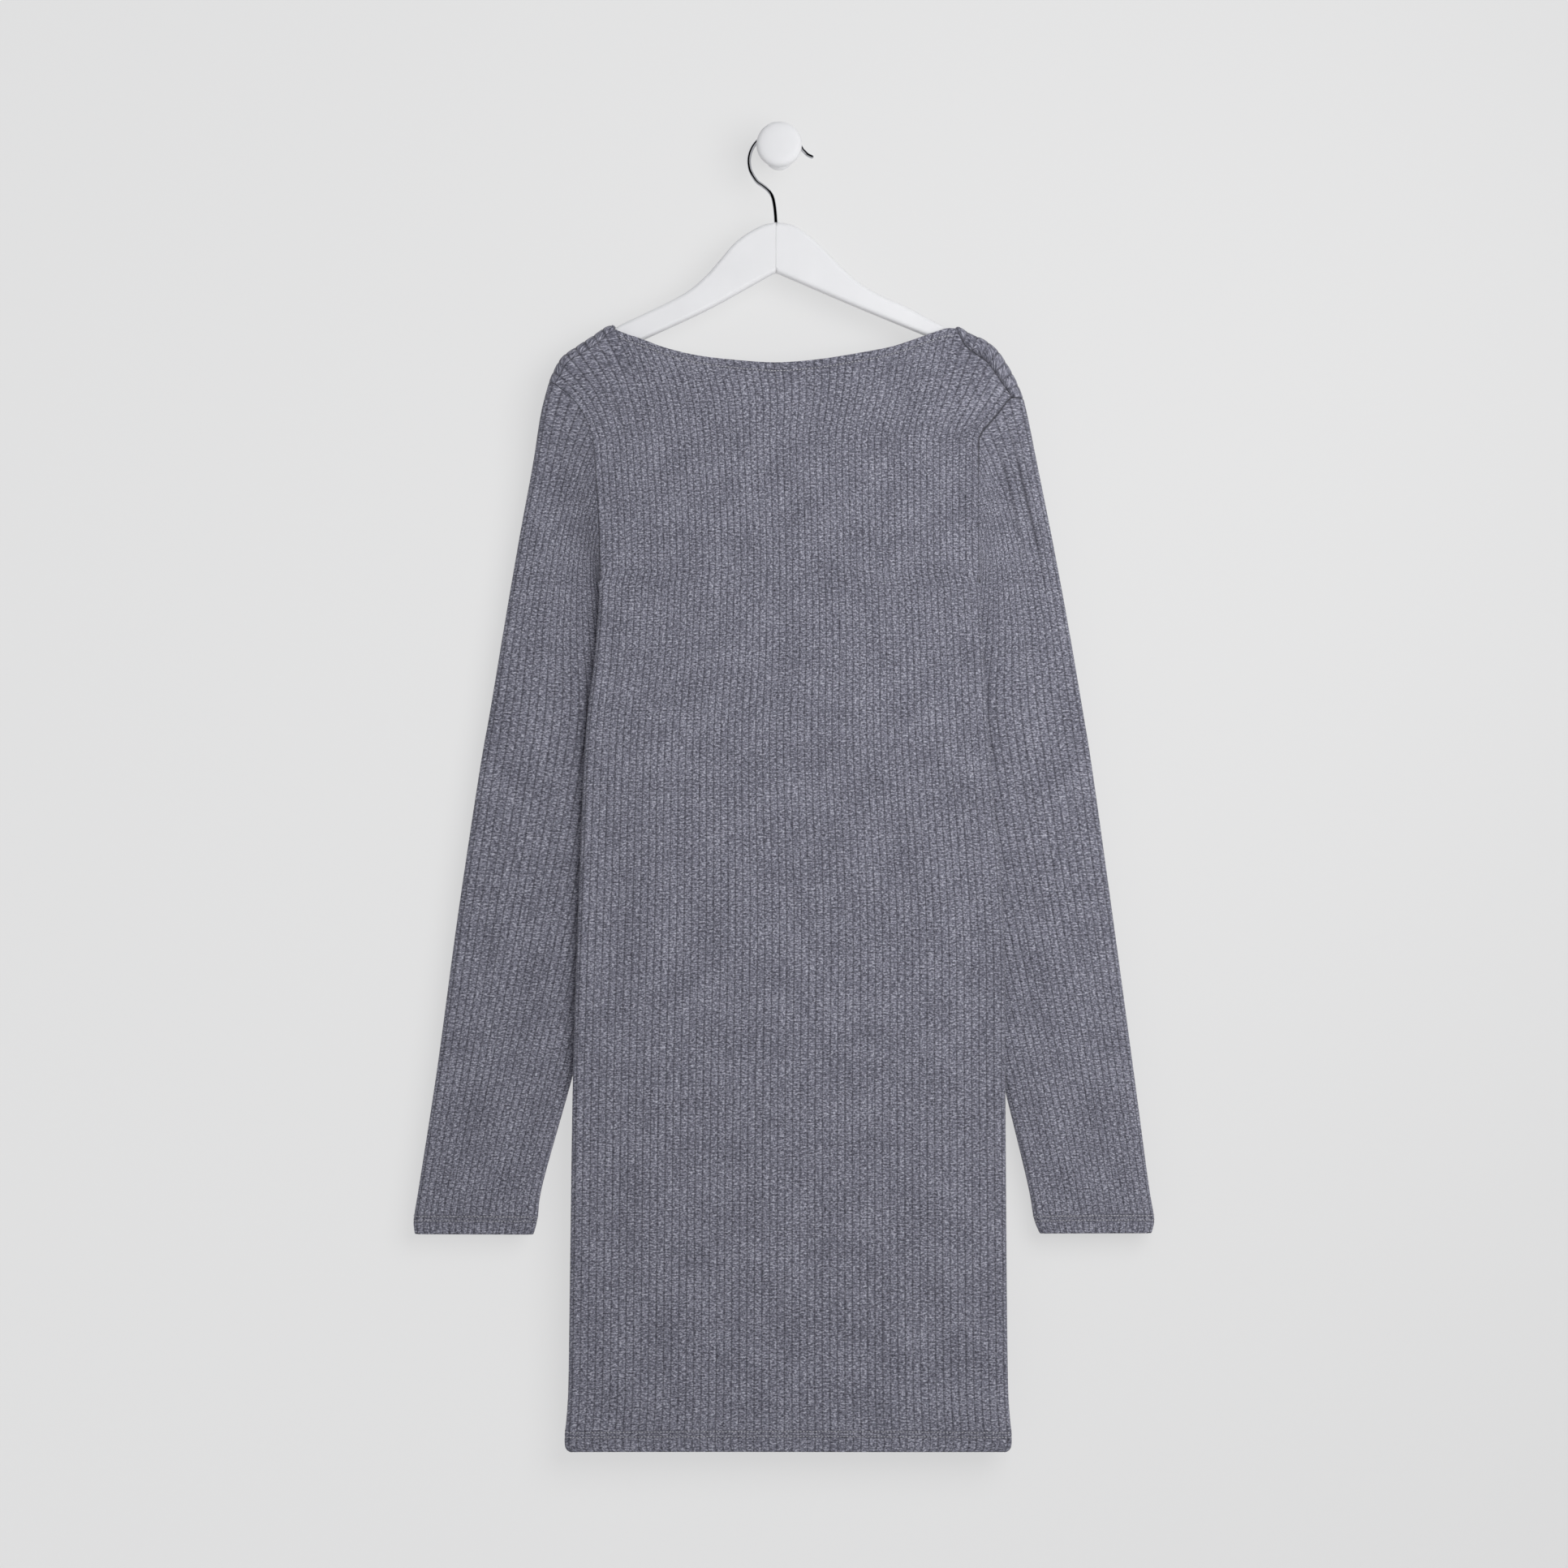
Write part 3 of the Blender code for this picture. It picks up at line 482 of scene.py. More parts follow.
# %% [markdown]
# ## Soft creases
#
# Jersey on a hanger has few sharp folds. It has long, shallow troughs along the ribs, deeper ones where
# the armhole pulls, and a few short pinched grooves at the shoulder. Each one below is a short line with
# a width and a depth. Its section is a bell curve, and it fades out towards its ends.

# %% Crease tables
CREASES = {
    "back": [
        # x from, z from, x to, z to, half width, depth
        (-132, -175, -127, -187, 1.5, 0.55), (-123.5, -183, -116.5, -206, 1.5, 0.6),
        (-115.7, -156, -111.9, -167, 1.4, 0.35), (-149.4, -168, -146.4, -176, 1.4, 0.3),
        (-129, -262, -127, -420, 7, 0.7), (-112, -300, -118, -470, 9, -0.6),
        (-121, -500, -130, -660, 8, 0.6), (-96, -520, -104, -700, 11, -0.5),
        (-132, -700, -140, -860, 7, -0.55), (-70, -640, -64, -800, 12, 0.4),
        (133, -238, 138, -330, 7, 0.9), (121, -250, 127, -360, 8, -0.55),
        (128, -430, 137, -600, 9, 0.65), (108, -470, 112, -640, 12, -0.45),
        (140, -640, 147, -800, 8, 0.55), (118, -760, 126, -900, 9, -0.45),
        (24, -204, -48, -246, 14, 0.55), (-60, -300, -20, -318, 12, -0.45),
        (40, -420, 92, -404, 13, 0.45), (-80, -452, -24, -470, 12, 0.4),
        (-54, -763, 24, -770, 7, 0.5), (40, -700, 96, -716, 11, -0.4),
        (-120, -880, -84, -902, 13, 0.5), (92, -872, 140, -896, 12, 0.45),
        (-21, -173, -13.2, -188, 1.2, 0.28), (22.8, -173, 26.4, -185, 1.2, 0.28),
        (-3.6, -179, 3.6, -182, 1.2, 0.2),
    ],
    "front": [
        (-118, -250, -112, -420, 9, 0.6), (118, -252, 124, -400, 9, 0.6),
        (-90, -224, -34, -262, 12, 0.45), (96, -226, 40, -268, 12, 0.5),
        (-126, -520, -134, -700, 8, 0.4), (132, -500, 141, -690, 8, 0.4),
        (-60, -560, -52, -740, 12, 0.4), (66, -600, 58, -780, 12, -0.35),
        (-100, -860, -40, -884, 12, 0.35), (36, -846, 92, -868, 12, 0.35),
    ],
    "left": [
        (-161, -214, -170, -300, 5, 0.6), (-176, -240, -188, -360, 6, -0.55),
        (-152, -300, -160, -420, 6, 0.55), (-177, -468, -166, -590, 6, 0.6),
        (-205, -540, -209, -636, 5, -0.75), (-217, -560, -222, -645, 4.5, 0.7),
        (-150, -620, -168, -700, 6, 0.45), (-232, -700, -240, -770, 6, 0.45),
        (-196, -664, -212, -744, 7, -0.45), (-214, -380, -222, -470, 6, 0.4),
        (-196, -430, -236, -446, 7, 0.35), (-170, -506, -214, -520, 8, -0.3),
    ],
    "right": [
        (167.4, -194.4, 199.2, -323.4, 1.3, 0.85), (159, -203, 184.8, -311, 1.4, 0.65),
        (158, -212, 168, -300, 5, 0.75), (172, -216, 184, -330, 5, -0.6),
        (184, -260, 198, -380, 5, 0.6), (160, -330, 164, -470, 7, -0.7),
        (176, -380, 184, -520, 6, 0.55), (205, -470, 214, -560, 6, -0.4),
        (172, -560, 188, -640, 6, 0.6), (206, -600, 222, -690, 6, 0.45),
        (186, -650, 205, -742, 6, -0.7), (240, -660, 252, -770, 6, 0.4),
        (214, -470, 176, -482, 8, 0.35), (196, -530, 232, -520, 7, -0.3),
    ],
}
KEPT_CLEAR, BEHIND_WIDTH, BEHIND_DEPTH = 0.35, 150.0, 10.0
# How strongly the sharp creases darken the colour: painted shade.
SHARP_BELOW, SOFT_DRAPE, CREASE_PAINTED_SHADE = 3.0, 1.4, 1.0


def creases(grid, table):
    """How far the cloth sinks at each grid point, in all and by the sharp creases alone.

    For a point at distance d beside a crease's line and share s along it, the crease adds
    depth exp(-(d / half width)^2) times sin(pi s), with s between 0 and 1. The wide ones are deepened
    together, by the drape. The sharp ones are also given back alone, because the colour gets painted
    shade along them.
    """
    x, z = grid[..., 0, None], grid[..., 2, None]
    x0, z0, x1, z1, half_width, depth = np.array(table).T
    run = np.hypot(x1 - x0, z1 - z0)
    ux, uz = (x1 - x0) / run, (z1 - z0) / run
    share = np.clip(((x - x0) * ux + (z - z0) * uz) / run, 0.0, 1.0)
    beside = (x - x0) * uz - (z - z0) * ux
    bell = np.exp(-(beside / half_width) ** 2)
    each = depth * bell * np.sin(math.pi * share)
    sharp = half_width < SHARP_BELOW
    return (np.where(sharp, 1.0, SOFT_DRAPE) * each).sum(axis=-1), (sharp * each).sum(axis=-1)


# %% [markdown]
# ## Turned edges, seams, their relief and their painted shade
#
# The neck, the hem and the cuffs are turned in and stitched, so the cloth is doubled there and stands a
# little proud, with a fine dent under the stitches. At a seam the two edges roll inwards. The colour also
# gets painted shade: it is darkened in the stitch dents, and along a seam in a thin dark line. All of this
# is a function of one thing: the distance along the cloth from an edge.

# %% Relief of bands and seams, and their painted shade
NECK_BAND, NECK_STITCH = 7.4, 6.2
HEM_STITCHES, CUFF_STITCHES = (11.7, 15.2), (10.0, 13.3)
BAND_RISE, BAND_EDGE, BAND_FALL, BAND_SPARE = 0.35, (-0.4, 0.8), 1.6, 0.8
# The dents under the stitches also darken the colour: painted shade.
DENT_DEPTH, DENT_WIDTH, DENT_PAINTED_SHADE = 0.30, 0.9, 0.6
SEAM_DIP, SEAM_WIDTH = 0.25, 0.7
# Each pair scales a seam's roll and its painted shade, left and right. Below the armhole the body's left edge
# gets a dark line, a painted shadow where the body lies on the sleeve.
SHOULDER_SHOW, ARMHOLE_SHOW, LOW_SHOW = (0.2, 0.55), (0.3, 1.8), (0.7, 0.1)
SHOW_ACROSS, SHOW_UP = (-120.0, 120.0), (-262.0, -208.0)


def length_from(grid, row):
    """Length of cloth from the first (0) or last (-1) row to every grid point, along its column."""
    if row == -1:
        return length_from(grid[::-1], 0)[::-1]
    steps = np.linalg.norm(np.diff(grid, axis=0), axis=-1)
    return np.concatenate([np.zeros((1, grid.shape[1])), np.cumsum(steps, axis=0)])


def band(distance, width, stitches):
    """Rise of a turned band (up at its edge, flat, down past its width, dented at its stitches), and
    the painted shade in its dents.
    """
    rise = BAND_RISE * soft_step(distance, *BAND_EDGE) * (1.0 - soft_step(distance, width, width + BAND_FALL))
    dents = sum(np.exp(-((distance - at) / DENT_WIDTH) ** 2) for at in stitches)
    return rise - DENT_DEPTH * dents, DENT_PAINTED_SHADE * dents


def seam_dip(distance):
    """Depth of the roll at a seam: a bell curve of the distance from it."""
    return SEAM_DIP * np.exp(-(distance / SEAM_WIDTH) ** 2)


def seam_show(grid):
    """How deep the shoulder and side seams roll in, and how dark their painted shade is, from left to
    right, up the armhole and below it.
    """
    shoulder, high, low = (np.interp(grid[..., 0], SHOW_ACROSS, show)
                           for show in (SHOULDER_SHOW, ARMHOLE_SHOW, LOW_SHOW))
    return shoulder, low + (high - low) * soft_step(grid[..., 2], *SHOW_UP)


def across_from_side(grid):
    """Length of cloth from the nearer side edge of a panel, along its row."""
    from_left = length_from(grid.swapaxes(0, 1), 0).T
    return np.minimum(from_left, from_left[:, -1:] - from_left)


# %% [markdown]
# ## From a grid to a wall of cloth
#
# A piece of cloth needs two faces and a rim, so that it looks right from inside the neck and at the
# hem. The outer points carry the ribs, the bands and the creases. The inner points are the plain grid,
# set back by the cloth's thickness. The UV map holds real lengths: across the ribs and along them, so
# the yarn pattern keeps its scale on every piece.

# %% Meshes from grids
RIB_PITCH = 4.8


def grid_normals(grid, closed):
    """Unit normals of a grid: the cross product of its steps along the row and up the column."""
    if closed:
        wide = np.concatenate([grid[:, -1:], grid, grid[:, :1]], axis=1)
        across = wide[:, 2:] - wide[:, :-2]
    else:
        across = np.gradient(grid, axis=1)
    return unit(np.cross(across, np.gradient(grid, axis=0)))


def grid_quads(rows, columns):
    """Row and column of the four corners of every cell of a grid."""
    r, c = np.meshgrid(np.arange(rows - 1), np.arange(columns - 1), indexing="ij")
    corners = [(r, c), (r, c + 1), (r + 1, c + 1), (r + 1, c)]
    return np.stack([np.stack(corner, axis=-1) for corner in corners], axis=2).reshape(-1, 4, 2)


def rim_quads(rows, columns, closed):
    """Cells between the outer and the inner grid along the free edges: row, column and layer."""
    r, c = np.arange(rows - 1), np.arange(columns - 1)
    rings = [[(row, c + 1, 0), (row, c, 0), (row, c, 1), (row, c + 1, 1)][::turn]
             for row, turn in ((0, 1), (rows - 1, -1))]
    if not closed:
        rings += [[(r, column, 0), (r + 1, column, 0), (r + 1, column, 1), (r, column, 1)][::turn]
                  for column, turn in ((0, 1), (columns - 1, -1))]
    corners = [[np.stack(np.broadcast_arrays(*corner), axis=-1) for corner in ring] for ring in rings]
    return np.concatenate([np.stack(ring, axis=1) for ring in corners])


def signed_volume(points, quads):
    """Volume inside a closed surface of quads; negative when its faces point inwards."""
    a, b, c, d = (points[quads[:, k]] for k in range(4))
    return (np.einsum("ij,ij->i", a, np.cross(b, c)) + np.einsum("ij,ij->i", a, np.cross(c, d))).sum() / 6.0


def new_piece(name, points, faces, smooth_faces=True):
    """Object from points in millimetres and a list of faces, at the origin."""
    mesh = bpy.data.meshes.new(name)
    faces = faces if isinstance(faces, list) else faces.tolist()
    mesh.from_pydata((np.asarray(points) * MM).tolist(), [], faces)
    mesh.polygons.foreach_set("use_smooth", np.full(len(mesh.polygons), smooth_faces))
    mesh.update()
    piece = bpy.data.objects.new(name, mesh)
    bpy.context.scene.collection.objects.link(piece)
    return piece


def cloth_wall(name, outer, inner, ribs, painted_shade, closed, level_row):
    """Closed wall of cloth between an outer and an inner grid, with UV lengths and a painted-shade
    attribute: the colour is darkened at seams, stitch dents and sharp creases.

    The lengths along the ribs start at the level row, the hem or the cuff, where the rows run square to
    the ribs. Starting at the slanted armhole would shear the pattern.
    """
    rows, columns = outer.shape[:2]
    span = columns + 1 if closed else columns
    cells = grid_quads(rows, span)
    layer = np.zeros(cells.shape[:2] + (1,), int)
    outside = np.concatenate([cells, layer], axis=-1)
    inside = np.concatenate([cells[:, ::-1], layer + 1], axis=-1)
    corners = np.concatenate([outside, inside, rim_quads(rows, span, closed)])
    row, column, side = corners[..., 0], corners[..., 1], corners[..., 2]
    faces = side * rows * columns + row * columns + column % columns
    points = np.concatenate([outer.reshape(-1, 3), inner.reshape(-1, 3)])
    if signed_volume(points, faces) < 0.0:
        faces, row, column = faces[:, ::-1], row[:, ::-1], column[:, ::-1]
    piece = new_piece(name, points, faces)
    lengths = length_from(outer, level_row)
    rib_ends = np.append(ribs, round(ribs[-1])) if closed else ribs
    uv = np.stack([rib_ends[column] * RIB_PITCH, lengths[row, column % columns]], axis=-1) * MM
    piece.data.uv_layers.new(name="ribs").data.foreach_set("uv", uv.reshape(-1))
    # Painted shade per point, which the jersey's colour reads.
    mark = piece.data.attributes.new("painted_shade", "FLOAT", "POINT")
    mark.data.foreach_set("value", np.tile(painted_shade.ravel(), 2))
    print(name, "faces:", len(faces))
    return piece


# %% [markdown]
# ## Cutting the two body panels
#
# The ribs stand out of the cloth and the creases sink into it, so a panel is its plain grid moved along
# its normals. Near the side seams and the edges the creases fade out, so that sewn edges still meet.

# %% Body panels
THREAD_REST = 0.8
RIB_FADE = (-0.4, 0.6)
HEM_FADE, SIDE_FADE, TOP_FADE = (4.0, 40.0), (2.0, 14.0), (3.0, 14.0)
ARMHOLE_FADE, CUFF_FADE, TURN_FADE = (1.0, 8.0), (12.0, 40.0), (0.3, 0.9)


def layers(grid, normals, lift, relief, sink):
    """Three surfaces: where thread lies on the ribs, the ribbed outside, and the plain inside."""
    return (grid + normals * (relief + THREAD_REST * RIB_HEIGHT)[..., None],
            grid + normals * (RIB_HEIGHT * lift[None, :] + relief)[..., None],
            grid - normals * (WALL + np.maximum(sink, 0.0))[..., None])


def panel_normals(grid, side, over):
    """Normals of a panel, set square to its seams so that neighbouring walls don't run into each other."""
    normals = grid_normals(grid, False)
    if normals[0, grid.shape[1] // 2, 1] * side < 0.0:
        normals = -normals
    sewn = int((LOWER_HEIGHTS < CLOSED_BELOW).sum())
    normals[:sewn, 0] = (-1.0, 0.0, 0.0)
    normals[:sewn, -1] = (1.0, 0.0, 0.0)
    normals[sewn:, [0, -1]] = (0.0, side, 0.0)
    normals[-1] = (0.0, side, 0.0)
    if over is not None:
        normals[-len(over):] = over
    return normals


def panel_piece(name, grid, side, over):
    """One body panel, and what the stitches need: its surface, normals and lengths from its edges."""
    normals = panel_normals(grid, side, over)
    from_hem, from_top, from_side = length_from(grid, 0), length_from(grid, -1), across_from_side(grid)
    at_neck = (soft_step(body_ribs - SHOULDER_RIBS, *RIB_FADE)
               * soft_step(BODY_RIBS - SHOULDER_RIBS - body_ribs, *RIB_FADE))
    hem, hem_dent_shade = band(from_hem, HEM_STITCHES[1] + BAND_SPARE, HEM_STITCHES)
    neck, neck_dent_shade = band(from_top, NECK_BAND, (NECK_STITCH,))
    at_shoulder, at_side = seam_show(grid)
    dip = at_side * seam_dip(from_side) + (1.0 - at_neck) * at_shoulder * seam_dip(from_top)
    fade = (soft_step(from_hem, *HEM_FADE) * soft_step(from_side, *SIDE_FADE)
            * soft_step(from_top, *TOP_FADE))
    sink, sharp = (fade * part for part in creases(grid, CREASES["back" if side < 0.0 else "front"]))
    surface, outer, inner = layers(grid, normals, body_lift, hem + at_neck * neck - dip - sink, sink)
    # Painted shade: how much the colour is darkened in the stitch dents, along the seams and in the sharp
    # creases.
    painted_shade = np.clip(hem_dent_shade + at_neck * neck_dent_shade + dip / SEAM_DIP + CREASE_PAINTED_SHADE * sharp, 0.0, 1.0)
    piece = cloth_wall(name, outer, inner, body_ribs, painted_shade, False, 0)
    return piece, {"surface": surface, "normals": normals, "hem": from_hem, "top": from_top}


back_cloth, back_lay = panel_piece("back_cloth", back_grid, -1.0, None)
front_cloth, front_lay = panel_piece("front_cloth", front_grid, 1.0, over_normals)

# %% [markdown]
# ## Sewing in the sleeves
#
# A sleeve is made the same way, closed round. Its first row is the armhole seam, so the normals there
# are set square to the seam, and where the body lies on the sleeve nothing may rise into the body.

# %% Sleeves
def sleeve_piece(hand):
    """One sleeve and what its stitches need."""
    grid, across_seam = sleeve_grids[hand]
    normals = grid_normals(grid, True)
    if normals[-1, grid.shape[1] // 4, 1] > 0.0:
        normals = -normals
    tilt = np.einsum("ij,ij->i", normals[0], across_seam)[:, None]
    normals[0] = unit(normals[0] - tilt * across_seam)
    from_seam, from_cuff = length_from(grid, 0), length_from(grid, -1)
    cuff, dents = band(from_cuff, CUFF_STITCHES[1] + BAND_SPARE, CUFF_STITCHES)
    dip = seam_show(grid)[1] * seam_dip(from_seam)
    fade = (soft_step(from_seam, *ARMHOLE_FADE) * soft_step(from_cuff, *CUFF_FADE)
            * soft_step(np.abs(normals[..., 1]), *TURN_FADE))
    sink, sharp = (fade * part for part in creases(grid, CREASES[hand]))
    behind = (np.abs(grid[..., 0]) < BEHIND_WIDTH) & (grid[..., 1] < MIDDLE_PLANE + BEHIND_DEPTH)
    sink = np.where(behind, np.maximum(sink, -KEPT_CLEAR), sink)
    surface, outer, inner = layers(grid, normals, sleeve_lift, cuff - dip - sink, sink)
    # Painted shade: how much the colour is darkened in the cuff's stitch dents, along the armhole seam and in
    # the sharp creases.
    painted_shade = np.clip(dents + dip / SEAM_DIP + CREASE_PAINTED_SHADE * sharp, 0.0, 1.0)
    piece = cloth_wall("sleeve_" + hand + "_cloth", outer, inner, sleeve_ribs, painted_shade, True, -1)
    return piece, {"surface": surface, "normals": normals, "cuff": from_cuff}


sleeve_left, lay_left = sleeve_piece("left")
sleeve_right, lay_right = sleeve_piece("right")

# %% [markdown]
# ## Topstitching
#
# A topstitch is a row of short thread bridges. Each bridge comes out of the cloth, runs over it and
# goes back in, so it is modelled as a little bow with thin ends, a few dozen faces each. All the bows of
# a row are one array: a place and a direction for each, times one small shape.

# %% Thread bows along a line
STITCH_PITCH, STITCH_LENGTH, THREAD_RADIUS = 2.3, 1.75, 0.32
BOW_SHARE = np.array([0.0, 0.18, 0.5, 0.82, 1.0])
BOW_RISE = np.array([-0.30, 0.14, 0.28, 0.14, -0.30])
BOW_GIRTH = np.array([0.35, 0.9, 1.0, 0.9, 0.35])
THREAD_SIDES = 5


def line_on_cloth(lay, edge, distance, columns):
    """Points and normals at a given length of cloth from an edge, one for each of the columns.

    The two rows on either side of that length are found, and the point lies between them in proportion.
    """
    lengths = lay[edge][:, columns]
    surface, normals = lay["surface"][:, columns], lay["normals"][:, columns]
    if lengths[0, 0] > lengths[-1, 0]:
        lengths, surface, normals = lengths[::-1], surface[::-1], normals[::-1]
    lower = np.clip((lengths <= distance).sum(axis=0) - 1, 0, len(lengths) - 2)[None, :]
    low, high = np.take_along_axis(lengths, lower, 0), np.take_along_axis(lengths, lower + 1, 0)
    share = ((distance - low) / np.maximum(high - low, 1e-9))[0, :, None]

    def between(values):
        first = np.take_along_axis(values, lower[..., None], 0)[0]
        second = np.take_along_axis(values, lower[..., None] + 1, 0)[0]
        return first + (second - first) * share

    return between(surface), between(normals)


def thread_bows(points, normals):
    """Points and faces of the thread bows along a line: places, directions and one small shape."""
    lengths = run_lengths(points)
    count = int((lengths[-1] - STITCH_LENGTH) // STITCH_PITCH) + 1
    at = (np.arange(count) * STITCH_PITCH)[:, None] + BOW_SHARE[None, :] * STITCH_LENGTH
    up = unit(read_at(at, lengths, normals))
    centre = read_at(at, lengths, points) + up * BOW_RISE[None, :, None]
    run = unit(centre[:, -1:] - centre[:, :1])
    beside = unit(np.cross(up, run))
    angle = 2.0 * math.pi * np.arange(THREAD_SIDES) / THREAD_SIDES
    ring = (np.cos(angle)[:, None] * beside[..., None, :] + np.sin(angle)[:, None] * up[..., None, :])
    shell = centre[..., None, :] + ring * (THREAD_RADIUS * BOW_GIRTH)[None, :, None, None]
    rings = len(BOW_SHARE)
    k, s = np.meshgrid(np.arange(rings - 1), np.arange(THREAD_SIDES), indexing="ij")
    after = (s + 1) % THREAD_SIDES
    quads = np.stack([k * THREAD_SIDES + s, (k + 1) * THREAD_SIDES + s, (k + 1) * THREAD_SIDES + after,
                      k * THREAD_SIDES + after], axis=-1).reshape(-1, 4)
    base = np.arange(count)[:, None] * rings * THREAD_SIDES
    faces = (quads[None] + base[..., None]).reshape(-1, 4).tolist()
    cap = np.arange(THREAD_SIDES)
    faces += (cap + base).tolist() + (cap[::-1] + (rings - 1) * THREAD_SIDES + base).tolist()
    return shell.reshape(-1, 3), faces


def joined(parts):
    """Points and faces of several parts as one; a face's numbers move on past the parts before it."""
    points, faces, base = [], [], 0
    for own_points, own_faces in parts:
        points.append(own_points)
        faces += [[corner + base for corner in face] for face in own_faces]
        base += len(own_points)
    return np.concatenate(points), faces


def stitched(name, lines):
    """One piece with the thread bows of all the lines."""
    points, faces = joined([thread_bows(*line) for line in lines])
    print(name, "stitches:", len(points) // (len(BOW_SHARE) * THREAD_SIDES))
    return new_piece(name, points, faces)


def whole_round(line):
    """A closed line: the first point and its normal come again at the end."""
    return tuple(np.concatenate([part, part[:1]]) for part in line)


EDGE_COLUMNS = slice(2, -2)
neck_thread = stitched("neck_thread", [line_on_cloth(lay, "top", NECK_STITCH, on_neck)
                                       for lay in (back_lay, front_lay)])
hem_thread = stitched("hem_thread", [line_on_cloth(lay, "hem", distance, EDGE_COLUMNS)
                                     for lay in (back_lay, front_lay) for distance in HEM_STITCHES])
cuff_threads = {
    hand: stitched("cuff_thread_" + hand, [whole_round(line_on_cloth(lay, "cuff", distance, slice(None)))
                                           for distance in CUFF_STITCHES])
    for hand, lay in (("left", lay_left), ("right", lay_right))
}

# %% [markdown]
# ## The wooden hanger
#
# The hanger is two bent arms that meet in the middle, cut from one thickness of wood with well rounded
# edges, and painted. Each arm is an outline. Rings follow the outline from the back face round the edge
# to the front face, and move inwards on a quarter circle as they reach the faces, which rounds the edge.

# %% Hanger outline
JOINT_X, JOINT_GAP, JOINT_SHARE, JOINT_REACH = -2.4, 0.06, 0.05, 0.3
LEFT_ARM = [
    (-2.4, -55.5), (-11, -57.2), (-21.6, -62.4), (-33, -70.8), (-44.4, -84), (-54, -94.8),
    (-67.2, -106.2), (-84.6, -115.8), (-105.6, -125.8), (-120, -132.8), (-136.5, -143.4),
    (-149, -151.4), (-155.2, -157.2), (-156.4, -161.4), (-151.6, -164.4), (-136, -158.8),
    (-102, -142.6), (-52.2, -119.4), (-8, -95), (-2.4, -92.4),
]
RIGHT_ARM = [
    (-2.4, -55.5), (7.2, -56.8), (16.8, -61.2), (30, -72), (43.5, -86.1), (57, -98.4),
    (72, -108), (93, -117.6), (112.2, -127.6), (123.6, -134), (136, -140), (150, -148),
    (160.2, -155.8), (159.8, -159.6), (154, -160), (140, -153.4), (110.4, -139.8),
    (54, -116.4), (3.2, -94.6), (-2.4, -92.4),
]
HANGER_THICKNESS, HANGER_ROUNDING = 12.0, 3.0
EDGE_STEPS, ARM_POINTS = 7, 150


def arm_rings(points, side):
    """Rings of one arm, from its back face round the edge to its front face.

    A ring at angle a lies rounding (1 - cos a) inside the outline, and half the thickness less
    rounding (1 - sin a) away from the middle. At the joint it moves in much less sideways.
    """
    outline = along(smooth(points), np.linspace(0.0, 1.0, ARM_POINTS))
    at_joint = np.abs(outline[:, 0] - JOINT_X) < JOINT_REACH
    outline[:, 0] = np.where(at_joint, JOINT_X + side * JOINT_GAP / 2.0, outline[:, 0])
    run = unit(np.gradient(outline, axis=0))
    inward = side * np.stack([run[:, 1], -run[:, 0]], axis=-1)
    inward[0] = (side * JOINT_SHARE, -1.0)
    inward[-1] = (side * JOINT_SHARE, 1.0)
    angle = np.linspace(0.0, math.pi / 2.0, EDGE_STEPS)
    inset = HANGER_ROUNDING * (1.0 - np.cos(angle))
    depth = HANGER_THICKNESS / 2.0 - HANGER_ROUNDING * (1.0 - np.sin(angle))
    inset = np.concatenate([inset[::-1], inset])
    depth = np.concatenate([depth[::-1], -depth])
    flat = outline[None] + inward[None] * inset[:, None, None]
    return in_space(flat, MIDDLE_PLANE + depth[:, None] + 0.0 * flat[..., 0])


def ring_solid(solid):
    """Points and outward faces of a solid: quads between its rings of points, and a cap at either end.

    The faces are turned round if the closed surface encloses a negative volume.
    """
    rings, count = solid.shape[:2]
    points = solid.reshape(-1, 3)
    k, s = np.meshgrid(np.arange(rings - 1), np.arange(count), indexing="ij")
    after = (s + 1) % count
    corners = [k * count + s, k * count + after, (k + 1) * count + after, (k + 1) * count + s]
    quads = np.stack(corners, axis=-1).reshape(-1, 4)
    caps = [list(range(count))[::-1], list(range((rings - 1) * count, rings * count))]
    faces = quads.tolist() + caps
    return points, faces if signed_volume(points, quads) >= 0.0 else [face[::-1] for face in faces]


def hanger_piece():
    """Both arms as one mesh, smooth round the edges and flat on the faces."""
    points, faces = joined([ring_solid(arm_rings(LEFT_ARM, -1.0)), ring_solid(arm_rings(RIGHT_ARM, 1.0))])
    piece = new_piece("hanger_arms", points, faces)
    piece.data.polygons.foreach_set("use_smooth", [len(face) == 4 for face in faces])
    return piece


hanger_arms = hanger_piece()
print("hanger faces:", len(hanger_arms.data.polygons))

# %% [markdown]
# ## The hook
#
# The hook is one round wire, bent in a plane. Its centre line is drawn through a few points and an arc,
# and a circle of points is carried along it. The line lies in a plane, so the circle needs no twisting:
# one of its axes is always the plane's normal. At both ends the circle shrinks over a half round.

# %% Hook wire
WIRE_RADIUS, WIRE_SIDES, WIRE_TIP = 1.5, 20, 0.05
HOOK_POINTS, ARC_POINTS, END_RINGS = 150, 14, 5
HOOK_SHANK = [(-2.4, -55.2), (-2.8, -49), (-3.6, -42), (-5, -36), (-7.8, -31.6), (-12, -28),
              (-16.6, -24.6)]
HOOK_CENTRE, HOOK_RADIUS, HOOK_ARC = (-1.6, -9.8), 20.8, (203, 24)
HOOK_TIP = [(18.6, -2.4), (21, -4.8), (24.2, -6.4)]


